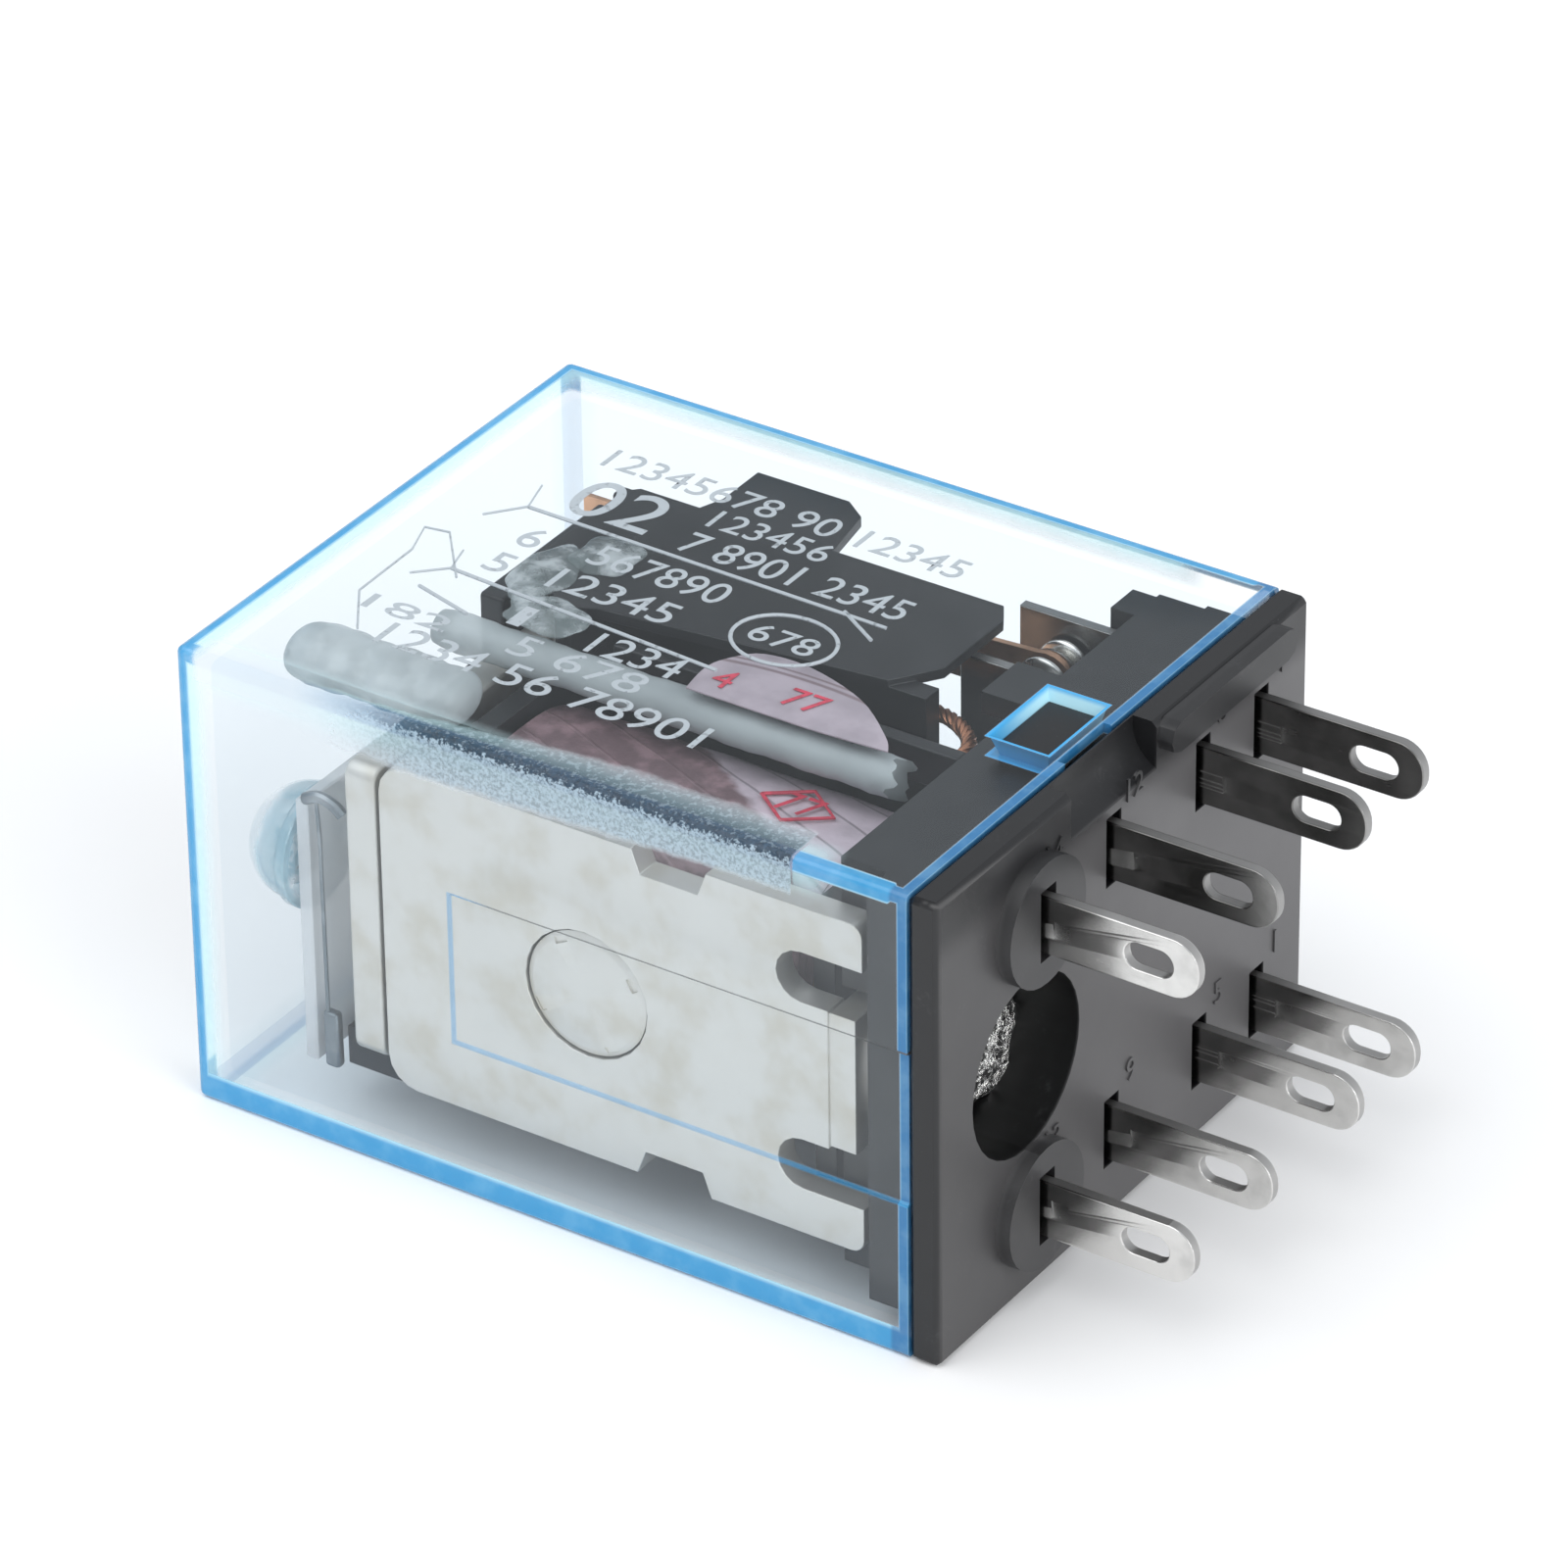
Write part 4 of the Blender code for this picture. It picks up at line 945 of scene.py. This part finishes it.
class RELAY_OT_magnet(bpy.types.Operator):
    """Adds the plated yoke, its staked disc and the core"""
    bl_idname = "relay.magnet"
    bl_label = "Yoke and core"

    def execute(self, context):
        nickel = finish_metal("nickel_plate")
        piece("yoke_frame", softened("yoke", 0.16, 3, 38), "relay", nickel, "nickel_steel", "yoke")
        self.disc(nickel)
        self.core(nickel)
        return {'FINISHED'}

    def disc(self, nickel):
        centre_x = (DISC_LOW[0] + DISC_HIGH[0]) / 2
        radius = (DISC_HIGH[0] - DISC_LOW[0]) / 2
        front, back = DISC_LOW[1], DISC_HIGH[1]
        profile = [(0, 0), (0, radius - 0.12), (0.04, radius - 0.03), (0.14, radius + 0.2),
                   (back - front - 0.1, radius + 0.2), (back - front - 0.1, 0)]
        mesh = turned(profile, (centre_x, front, 0), "Y", 64)
        marks = self.stake_marks(centre_x, front, radius, nickel)
        mesh = combined(mesh, [marks], 'DIFFERENCE')
        piece("staked_disc", smooth(mesh, 12), "relay", nickel, "nickel_steel", "yoke_disc")

    def stake_marks(self, centre_x, front, radius, nickel):
        """Four small chisel marks on the disc's edge, placed by a node tree."""
        tree = Tree("stake_marks")
        count = tree.input("Count", 'NodeSocketInt', 4)
        reach = tree.input("Radius", 'NodeSocketFloat', (radius - 0.12) * MM)
        size = tree.input("Mark size", 'NodeSocketVector', (0.62 * MM, 0.30 * MM, 0.22 * MM))
        ring = tree.node("GeometryNodeMeshCircle", None, {"Vertices": count, "Radius": reach})
        cube = tree.node("GeometryNodeMeshCube", None, {"Size": size})
        place = tree.node("GeometryNodeInputPosition")
        turn = tree.node("FunctionNodeAlignRotationToVector", {"axis": 'Y'}, {"Vector": place.outputs[0]})
        marks = tree.node("GeometryNodeInstanceOnPoints", None, {
            "Points": ring.outputs[0], "Instance": cube.outputs[0], "Rotation": turn.outputs[0]})
        lift = Matrix.Rotation(math.radians(28), 4, 'Z')
        mesh = tree.made_mesh(marks.outputs[0], nickel)
        stand = Matrix.Rotation(math.pi / 2, 4, 'X')
        mesh.transform(Matrix.Translation(mm(centre_x, front, 0)) @ stand @ lift)
        return mesh

    def core(self, nickel):
        low, high = node_box("core")
        mesh = softened("core", 0.1, 2, 40)
        piece("iron_core", mesh, "relay", nickel, "nickel_steel", "core")
        axis_y = (low[1] + high[1]) / 2
        burr = Finish("staked_end", metallic=1.0)
        # Painted reflection: the crumpled metal is patched in near-black and near-white for its dark and
        # bright facets; the same noise also roughens and bumps it.
        crumple_and_glints = burr.noise(0.45, 4.0, roughness=0.8)
        burr.set(base_color=burr.blend(crumple_and_glints.ramp(0.42, 0.54), (0.06, 0.06, 0.06), (0.97, 0.97, 0.95)),
                 roughness=0.10 + crumple_and_glints * 0.2)
        burr.bump(crumple_and_glints, 1.0, 0.35)

        def crumpled(co):
            crumple = math.sin(co.y * 23.0 + co.z * 11.0) * math.sin(co.z * 29.0 - co.y * 17.0)
            crease = math.sin(co.y * 7.0 + math.sin(co.z * 5.0) * 2.0) * math.cos(co.z * 8.0 + co.y * 3.0)
            spread = 1.0 + 0.08 * math.sin(math.atan2(co.z, co.y) * 5 + 0.7)
            return (high[0] - 0.25 + co.x * (0.60 + 0.16 * crease + 0.10 * crumple),
                    axis_y - 0.4 + co.y * 2.3 * spread, -0.9 + co.z * 2.6 * spread)

        piece("staked_end", smooth(blob(4, crumpled), 12), "relay", burr.material, "nickel_steel")


class RELAY_OT_bobbin(bpy.types.Operator):
    """Adds the black bobbin with its shields"""
    bl_idname = "relay.bobbin"
    bl_label = "Bobbin"

    def execute(self, context):
        piece("moulded_bobbin", softened("bobbin", 0.1, 2, 40), "relay", finish_black(), "black_moulding",
              "bobbin")
        inner_y = YOKE_HIGH[1]
        rails = [block((-23.3, inner_y + 0.05, low), (-6.9, inner_y + 0.75, high), 0.1)
                 for low, high in ((6.9, 8.6), (-9.3, -6.9))]
        piece("bobbin_rails", joined(rails), "relay", finish_black(), "black_moulding")
        return {'FINISHED'}


class RELAY_OT_coil(bpy.types.Operator):
    """Adds the winding and the layered label round it"""
    bl_idname = "relay.coil"
    bl_label = "Winding and label"

    def execute(self, context):
        use = context.scene.relay_coil
        copper = self.copper(context.scene.relay_metal.copper)
        piece("copper_winding", softened("winding", 0.15, 2, 40), "relay", copper, "winding_copper",
              "winding")
        piece("coil_label", self.layers(), "relay", self.paper(use), "wrap_tape", "coil_wrap")
        self.flap(use)
        self.figures(use)
        return {'FINISHED'}

    def copper(self, base):
        made = Finish("wound_copper", metallic=0.8)
        x, _, _ = made.axes()
        turns = (x * 22.0).math('SINE', x * 22.0)
        made.set(base_color=made.blend(made.noise(1.5), base, [c * 0.4 for c in base]), roughness=0.38)
        return made.bump(turns, 0.8, 0.06).material

    def layers(self):
        """Several turns of thin paper that don't quite line up at their ends."""
        low, high = node_box("coil_wrap")
        centre_y = (low[1] + high[1]) / 2
        half_y, half_z = (high[1] - low[1]) / 2, (high[2] - low[2]) / 2
        around, turns, rows = 72, 3, 24
        power = 0.62        # squares up the turns' corners
        grid = []
        for i in range(around * turns + 1):
            turn = i / around
            angle = 2 * math.pi * turn
            grow = -0.16 + 0.13 * turn / turns * 1.2
            c, s = math.cos(angle), math.sin(angle)
            y = centre_y + (half_y - 0.12 + grow) * math.copysign(abs(c) ** power, c)
            z = (half_z - 0.12 + grow) * math.copysign(abs(s) ** power, s)
            near = high[0] - 0.25 * turn - 0.12 * math.sin(angle * 2 + turn)
            far = low[0] + 0.35 * turn + 0.1 * math.sin(angle * 3)
            grid.append([(far + (near - far) * k / rows, y + 0.03 * math.sin(k * 1.3 + i * 0.21),
                          z + 0.03 * math.sin(k * 0.9 + i * 0.35)) for k in range(rows + 1)])
        obj = scratch("layers", lofted(grid, wrap=False))
        wall = obj.modifiers.new("wall", 'SOLIDIFY')
        wall.thickness = 0.05 * MM
        wall.offset = 0.0
        return smooth(applied(obj), 60)

    def paper(self, use):
        made = Finish("coil_label", roughness=0.5)
        x, y, _ = made.axes()
        torn = x + y * 1.4 + made.noise(1.2, 3.0) * 2.0
        covered = torn.ramp(-21.2, -20.4)
        layer = (x * 0.8 + y * 1.5 + made.noise(4.0, 2.0) * 3.0).math('PINGPONG', x * 0.6 + y * 1.5, 1.3)
        lines = 1 - layer.ramp(0.02, 0.16)
        paper = made.blend(made.noise(1.8, 3.0).ramp(0.3, 0.7), use.paper, [c * 0.72 for c in use.paper])
        paper = made.blend(lines * 0.75, paper, [c * 0.35 for c in use.paper])
        tape = made.blend(made.noise(1.0, 3.0).ramp(0.4, 0.7), use.tape, [c * 1.9 for c in use.tape])
        made.set(base_color=made.blend(covered, tape, paper), roughness=0.30 + covered * 0.2)
        return made.bump(made.noise(0.9, 3.0) + lines * 0.4, 0.5, 0.12).material

    def flap(self, use):
        """The raised end of the label, over the shield, with dark rings; its figures are added with the
        label's other figures.
        """
        knots = [(-18.2, -3.8), (-18.4, -2.1), (-18.0, -1.0), (-17.0, 0.0), (-14.8, 0.1), (-11.8, -0.9),
                 (-9.5, -2.7), (-8.8, -3.6)]
        rounded = [(p.x, p.y) for p in smooth_path([(x, y, 0) for x, y in knots], 5)]
        outline = rounded + [(-12.3, -3.8), (-15.5, -3.8)]
        sheet = plate([outline], "XY", 9.37, 9.45, 0.02, 1)
        paper = Finish("flap_paper", roughness=0.5)
        x, y, _ = paper.axes()
        arc_line = ((x + 14.2) * (x + 14.2) * 0.16 + (y + 4.0) * (y + 4.0)) / 14
        rings = (1 - abs(arc_line - 0.72).ramp(0.02, 0.06)).most(1 - abs(arc_line - 0.88).ramp(0.015, 0.05))
        cloud = paper.noise(1.8, 3.0)
        light, dark = ([c * part for c in use.paper] for part in (0.72, 0.55))
        plain = paper.blend(cloud.ramp(0.3, 0.7), light, dark)
        paper.set(base_color=paper.blend(rings * 0.8, plain, use.tape))
        paper.bump(paper.noise(0.9, 3.0), 0.4, 0.1)
        piece("label_flap", sheet, "relay", paper.material, "wrap_tape")

    def figures(self, use):
        """Plain red figures in diamonds on the label's upper side."""
        ink = Finish("red_ink", roughness=0.5)
        bright = [c * 1.5 for c in use.red_ink]
        ink.set(base_color=ink.blend(ink.noise(0.5).ramp(0.35, 0.6), use.red_ink, bright))
        top = node_box("coil_wrap")[1][2] + 0.02
        x, y, flat = -12.2, -4.9, Matrix.Identity(3)
        corners = [(x + a, y + b, top) for a, b in ((-1.7, 0), (0, 1.25), (1.7, 0), (0, -1.25), (-1.7, 0))]
        mesh = joined([lettering("77", 2.0, (x, y, top), flat), wire(corners, 0.09, 1)])
        for vertex in mesh.vertices:
            vertex.co.z = min(vertex.co.z, (top + 0.05) * MM)
        above = [lettering(text, 1.9, (x, y, 9.5), flat)
                 for text, x, y in (("77", -13.6, -2.3), ("4", -17.2, -2.6))]
        piece("label_figures", joined([mesh, *above]), "relay", ink.material, "wrap_tape")


class RELAY_OT_armature(bpy.types.Operator):
    """Adds the hinged armature, its carrier and the two leaf springs"""
    bl_idname = "relay.armature"
    bl_label = "Armature"

    def execute(self, context):
        piece("plated_armature", softened("armature", 0.15, 3, 40), "armature", finish_metal("nickel_plate"),
              "nickel_steel", "armature")
        piece("moulded_carrier", softened("carrier", 0.15, 2, 40), "armature", finish_black(),
              "black_moulding", "carrier")
        bronze = finish_metal("leaf_bronze")
        for label, _ in SIDES:
            node = "moving_spring_" + label
            piece("leaf_spring_" + label, softened(node, 0.05, 1, 40), "armature", bronze, "spring_bronze",
                  node)
        return {'FINISHED'}


class RELAY_OT_leads(bpy.types.Operator):
    """Adds the return spring and the two braided leads"""
    bl_idname = "relay.leads"
    bl_label = "Spring and leads"

    def execute(self, context):
        steel = plated("wire_steel", (0.66, 0.66, 0.67), (0.4, 0.39, 0.37), 0.2, 0.35, (1, 1, 1))
        coil = piece("coiled_spring", self.spring(steel), "relay", steel, "spring_steel", "return_spring")
        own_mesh(coil)
        copper = finish_metal("braid_copper")
        for label, side in SIDES:
            node = "flexible_lead_" + label
            mesh = self.braid(side, copper, context.scene.relay_coil.strands)
            lead = piece("braided_lead_" + label, mesh, None, copper, "copper_braid", node)
            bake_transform(lead)
        return {'FINISHED'}

    def spring(self, steel):
        low, high = node_box("return_spring")
        wire_radius = 0.16
        radius = (high[2] - low[2]) / 2 - wire_radius
        tree = Tree("return_spring")
        turns = tree.input("Turns", 'NodeSocketFloat', 5.5)
        reach = tree.input("Radius", 'NodeSocketFloat', radius * MM)
        tall = tree.input("Length", 'NodeSocketFloat', (high[0] - low[0] - 2 * wire_radius) * MM)
        thick = tree.input("Wire radius", 'NodeSocketFloat', wire_radius * MM)
        path = tree.node("GeometryNodeCurveSpiral", None, {
            "Resolution": 24, "Rotations": turns, "Start Radius": reach, "End Radius": reach, "Height": tall})
        mesh = tree.made_mesh(tree.tube(path.outputs[0], 10, thick), steel)
        middle = [(a + b) / 2 for a, b in zip(low, high)]
        mesh.transform(Matrix.Translation(mm(low[0] + wire_radius, middle[1], middle[2]))
                       @ Matrix.Rotation(math.pi / 2, 4, 'Y'))
        return mesh

    def braid(self, side, copper, strands):
        """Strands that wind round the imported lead's path, placed by a node tree."""
        knots = [(-25.4, 7.55, ROW_Z), (-24.5, 7.05, ROW_Z), (-23.2, 5.4, ROW_Z), (-19.5, 4.0, ROW_Z),
                 (-15.0, 3.5, 6.7), (-11.0, 3.3, 7.0), (-8.95, 2.2, 7.3), (-7.95, 0.9, 7.5),
                 (-7.85, -0.15, 7.55)]
        path = smooth_path([(x, y, side * z) for x, y, z in knots], 4)
        curve = bpy.data.curves.new("lead_path", 'CURVE')
        curve.dimensions = '3D'
        spline = curve.splines.new('POLY')
        spline.points.add(len(path) - 1)
        for point, place in zip(spline.points, path):
            point.co = (*mm(*place), 1)
        tree = Tree("braided_lead")
        count = tree.input("Strands", 'NodeSocketInt', strands)
        reach = tree.input("Lead radius", 'NodeSocketFloat', 0.21 * MM)
        thick = tree.input("Strand radius", 'NodeSocketFloat', 0.13 * MM)
        pitch = tree.input("Twists", 'NodeSocketFloat', 9.0)
        line = tree.node("GeometryNodeResampleCurve", None, {"Curve": tree.start.outputs[0], "Count": 130})
        copies = tree.node("GeometryNodeDuplicateElements", {"domain": 'SPLINE'}, {
            "Geometry": line.outputs[0], "Amount": count})
        start = tree.node("ShaderNodeMath", {"operation": 'DIVIDE'}, {
            0: copies.outputs["Duplicate Index"], 1: count})
        along = tree.node("GeometryNodeSplineParameter")
        wound = tree.node("ShaderNodeMath", {"operation": 'MULTIPLY_ADD'}, {
            0: along.outputs["Factor"], 1: pitch, 2: start.outputs[0]})
        angle = tree.node("ShaderNodeMath", {"operation": 'MULTIPLY'}, {0: wound.outputs[0], 1: 2 * math.pi})
        tangent = tree.node("GeometryNodeInputTangent")
        normal = tree.node("GeometryNodeInputNormal")
        turned_normal = tree.node("ShaderNodeVectorRotate", {"rotation_type": 'AXIS_ANGLE'}, {
            "Vector": normal.outputs[0], "Axis": tangent.outputs[0], "Angle": angle.outputs[0]})
        offset = tree.node("ShaderNodeVectorMath", {"operation": 'SCALE'}, {
            0: turned_normal.outputs[0], "Scale": reach})
        moved = tree.node("GeometryNodeSetPosition", None, {
            "Geometry": copies.outputs[0], "Offset": offset.outputs[0]})
        return tree.made_mesh(tree.tube(moved.outputs[0], 6, thick), copper, curve)


class RELAY_OT_sleeves(bpy.types.Operator):
    """Adds the two milky sleeves over the resistor and its lead"""
    bl_idname = "relay.sleeves"
    bl_label = "Sleeves"

    def execute(self, context):
        use = context.scene.relay_coil
        milky = Finish("milky_sleeve", ior=1.45, coat_weight=0.25)
        cloud = milky.noise(1.5, 4.0)
        milky.set(base_color=milky.blend(cloud.ramp(0.35, 0.7), use.sleeve, [c * 0.68 for c in use.sleeve]),
                  roughness=0.45 + cloud * 0.15, alpha=0.62 + cloud.ramp(0.35, 0.7) * 0.25)
        milky.bump(milky.noise(0.9, 3.0), 0.3, 0.12)
        low, high = node_box("resistor_sleeve")
        piece("resistor_sleeve_skin", self.tube(low, high, 0.0, 1.4), "relay", milky.material, "milky_sleeve",
              "resistor_sleeve")
        low, high = node_box("lead_sleeve")
        piece("lead_sleeve_skin", self.tube(low, high, 0.5, 1.1), "relay", milky.material, "milky_sleeve",
              "lead_sleeve")
        lumps = [self.lump(*sizes) for sizes in ((-28.0, 0.6, 1.3, 2.4), (-26.6, 3.0, 1.4, 1.5),
                                                 (-26.0, -2.2, 1.9, 1.3))]
        gel = Finish("clear_gel", roughness=0.25, ior=1.45)
        haze = gel.noise(1.1, 4.0)
        gel.set(base_color=gel.blend(haze.ramp(0.35, 0.65), (0.30, 0.36, 0.36), (0.60, 0.64, 0.65)),
                alpha=0.30 + haze.ramp(0.4, 0.7) * 0.45)
        gel.bump(haze, 0.5, 0.15)
        piece("gel_lumps", joined(lumps), "relay", gel.material, "milky_sleeve")
        ink = Finish("sleeve_ink", roughness=0.6)
        ink.set(base_color=ink.blend(ink.noise(0.3), (0.10, 0.11, 0.12), (0.22, 0.23, 0.24)))
        turn = Matrix.Rotation(math.radians(-2), 3, 'Z')
        marks = [lettering(text, 1.05, (x, low[1] + 0.95, high[2] - 0.12), turn)
                 for text, x in (("4 4", -13.6), ("001", -11.4))]
        piece("sleeve_figures", joined(marks), "relay", ink.material, "milky_sleeve")
        return {'FINISHED'}

    def lump(self, x, y, long, wide):
        """A low drop of cement just under the cover's wide face."""
        def swollen(co):
            swell = 1 + 0.14 * math.sin(co.x * 4 + x) * math.cos(co.y * 5 + y)
            return x + co.x * long * swell, y + co.y * wide * swell, 9.42 + co.z * 0.30
        return blob(4, swollen)

    def tube(self, low, high, ragged, wide):
        """A soft tube along X, wider than tall; a ragged one ends in an uneven cut."""
        radius = (high[1] - low[1]) / 2
        y, z = (low[1] + high[1]) / 2, (low[2] + high[2]) / 2
        span = high[0] - low[0]
        around, rows = 28, 60
        end = radius * 0.8
        rings = []
        for i in range(rows + 1):
            t = i / rows
            x = low[0] + span * t
            cap = min(x - low[0], end) / end
            if not ragged:
                cap = min(cap, min(high[0] - x, end) / end)
            size = radius * math.sqrt(max(0.0, 1 - (1 - cap) ** 2))
            ripple = 1 + 0.035 * math.sin(x * 1.9) + 0.02 * math.sin(x * 5.3)
            size = max(size, radius * 0.12) * ripple * 0.95
            ring = []
            for k in range(around):
                a = 2 * math.pi * k / around
                teeth = math.sin(3 * a) * 0.5 + math.sin(7 * a + 1) * 0.35 - 0.85
                cut = ragged * max(0.0, t - 0.9) * 10 * teeth
                ring.append((x + cut, y + wide * size * math.cos(a), z + size * math.sin(a)))
            rings.append(ring)
        return smooth(lofted(rings), 60)


class RELAY_OT_indicator(bpy.types.Operator):
    """Adds the indicator lamp and the small board that carries it"""
    bl_idname = "relay.indicator"
    bl_label = "Indicator"

    def execute(self, context):
        use = context.scene.relay_lamp
        self.lamp(use)
        self.board(use)
        return {'FINISHED'}

    def lamp(self, use):
        low, high = node_box("led")
        y, z = (low[1] + high[1]) / 2, (low[2] + high[2]) / 2
        radius = (high[1] - low[1]) / 2
        body = radius * 1.28
        seat = high[0]
        dome_x = low[0] + body * 0.92
        profile = [(seat, 0), (seat, body + 0.15), (seat - 0.05, body + 0.2), (seat - 0.40, body + 0.2),
                   (seat - 0.47, body + 0.15), (seat - 0.5, body)]
        profile += [(dome_x + (x - dome_x) * 0.92, r) for x, r in arc(dome_x, 0, body, 90, 180, 14)][:-1]
        profile += [(low[0], 0)]
        lens = Finish("lamp_epoxy", roughness=0.06, ior=1.5, coat_weight=0.5)
        _, y_axis, z_axis = lens.axes()
        reach = ((y_axis - y) * (y_axis - y) + (z_axis - z) * (z_axis - z)) / (body * body)
        cloud = lens.noise(1.6, 2.0)
        shade = lens.blend(cloud.ramp(0.4, 0.6), use.lens, [min(1, c * 1.8 + 0.1) for c in use.lens])
        # Painted shade: the lens darkens towards the dome's rim, where the clear epoxy is seen edge-on.
        lens.set(base_color=lens.blend(reach.ramp(0.75, 1.0), shade, [c * 0.6 for c in use.lens]),
                 alpha=0.16 + reach.ramp(0.7, 1.0) * 0.55 + cloud.ramp(0.5, 0.7) * 0.3)
        piece("lamp_lens", turned(profile, (0, y, z), "X", 56), "relay", lens.material, "led_epoxy", "led")
        chip = Finish("lamp_core", roughness=0.25)
        patches = chip.noise(0.8, 2.0).ramp(0.42, 0.55)
        chip.set(base_color=chip.blend(patches, (0.85, 0.94, 0.97), [c * 0.8 for c in use.lens]))
        cup = block((dome_x - 0.9, y - 1.3, z - 1.6), (seat - 0.4, y + 0.9, z + 1.1), 0.4)
        piece("lamp_cup", cup, "relay", chip.material, "silver_contact")

    def board(self, use):
        low, high = node_box("led_board")
        face = Finish("board_face", roughness=0.5)
        cloud = face.noise(2.0, 3.0)
        face.set(base_color=face.blend(cloud, use.board, [c * 0.9 for c in use.board]),
                 alpha=0.55 + cloud * 0.1)
        piece("lamp_board", block(low, high, 0.06, 1), "relay", face.material, "board_laminate", "led_board")
        front = low[1] + 0.02
        bar = [(-30.9, front, 4.45), (-30.2, front, 4.75), (-29.5, front, 4.60), (-29.05, front, 4.25)]
        stem = [(-30.35, front, 4.5), (-30.25, front, 2.6), (-30.2, front, -6.0)]
        lug = block((-30.5, front - 0.15, -8.0), (-29.8, front + 0.35, -5.4), 0.15, 2)
        for vertex in lug.vertices:
            vertex.co.x += 0.12 * MM * math.sin(vertex.co.z / MM * 3.0)
        hooks = joined([wire(smooth_path(bar, 5), 0.26), wire(stem, 0.09), lug])
        dull = plated("dull_wire", (0.20, 0.23, 0.25), (0.5, 0.52, 0.54), 0.3, 0.5, (1, 1, 1))
        piece("lamp_wires", hooks, "relay", dull, "spring_steel")


class RELAY_OT_stage(bpy.types.Operator):
    """Adds the floor, the soft lights and the camera"""
    bl_idname = "relay.stage"
    bl_label = "Stage"

    def execute(self, context):
        use = context.scene.relay_stage
        self.floor(use)
        world = bpy.data.worlds.new("studio")
        world.use_nodes = True
        sky = world.node_tree.nodes["Background"]
        sky.inputs[0].default_value = (0.93, 0.96, 1.0, 1.0)
        sky.inputs[1].default_value = use.sky
        context.scene.world = world
        self.light("key", (-60, -90, 220), 60, use.key)
        self.light("side", (240, -40, 90), 50, use.fill)
        self.camera()
        context.scene.view_settings.view_transform = 'Standard'
        return {'FINISHED'}

    def floor(self, use):
        paint = Finish("pale_floor", roughness=0.6)
        cloud = paint.noise(60.0, 2.0)
        paint.set(base_color=paint.blend(cloud, use.floor, [c * 0.985 for c in use.floor]))
        size = 1500
        level = CASE_LOW[2] - 0.02
        mesh = block((-size, -size, level - 2), (size, size, level))
        mesh.materials.append(paint.material)
        obj = bpy.data.objects.new("floor", mesh)
        bpy.context.scene.collection.objects.link(obj)

    def light(self, name, place, spread, strength):
        """A broad distant light that comes from place, spread over an angle in degrees."""
        lamp = bpy.data.lights.new(name, 'SUN')
        lamp.angle = math.radians(spread)
        lamp.energy = strength
        obj = bpy.data.objects.new(name, lamp)
        obj.location = mm(*place)
        obj.rotation_euler = (-obj.location).to_track_quat('-Z', 'Y').to_euler()
        bpy.context.scene.collection.objects.link(obj)

    def camera(self):
        """A long lens, above and in front, turned to look down the blades' side."""
        lens = bpy.data.cameras.new("camera")
        lens.sensor_width = 36.0
        lens.lens = 211.16
        lens.clip_start = 0.01
        lens.clip_end = 10.0
        obj = bpy.data.objects.new("camera", lens)
        azimuth, elevation, roll = (math.radians(a) for a in (33.849, 31.754, -0.746))
        back = Vector((math.sin(azimuth) * math.cos(elevation), -math.cos(azimuth) * math.cos(elevation),
                       math.sin(elevation)))
        obj.rotation_mode = 'QUATERNION'
        turn = (-back).to_track_quat('-Z', 'Y').to_matrix()
        obj.rotation_quaternion = (turn @ Matrix.Rotation(roll, 3, 'Z')).to_quaternion()
        obj.location = mm(158.28, -260.05, 197.44)
        bpy.context.scene.collection.objects.link(obj)
        bpy.context.scene.camera = obj


class RELAY_PT_parts(bpy.types.Panel):
    """Lists the pieces of the relay"""
    bl_label = "Relay"
    bl_idname = "RELAY_PT_parts"
    bl_space_type = 'VIEW_3D'
    bl_region_type = 'UI'
    bl_category = "Relay"

    def draw(self, context):
        for made in PARTS:
            self.layout.operator(made.bl_idname)
        for name in GROUPS:
            box = self.layout.box()
            settings = getattr(context.scene, name)
            for key in settings.__annotations__:
                box.prop(settings, key)


PARTS = (RELAY_OT_case, RELAY_OT_print, RELAY_OT_base, RELAY_OT_blades, RELAY_OT_contacts, RELAY_OT_magnet,
         RELAY_OT_bobbin, RELAY_OT_coil, RELAY_OT_armature, RELAY_OT_leads, RELAY_OT_sleeves,
         RELAY_OT_indicator, RELAY_OT_stage)
GROUPS = {"relay_case": RelayCaseSettings, "relay_moulding": RelayMouldingSettings,
          "relay_metal": RelayMetalSettings, "relay_coil": RelayCoilSettings,
          "relay_lamp": RelayLampSettings, "relay_stage": RelayStageSettings}
CLASSES = (*GROUPS.values(), *PARTS, RELAY_PT_parts)


def register():
    for made in CLASSES:
        bpy.utils.register_class(made)
    for name, made in GROUPS.items():
        setattr(bpy.types.Scene, name, PointerProperty(type=made))


def unregister():
    for name in GROUPS:
        delattr(bpy.types.Scene, name)
    for made in reversed(CLASSES):
        bpy.utils.unregister_class(made)


def main():
    register()
    for made in PARTS:
        group, name = made.bl_idname.split(".")
        getattr(getattr(bpy.ops, group), name)()


if __name__ == "__main__":
    main()
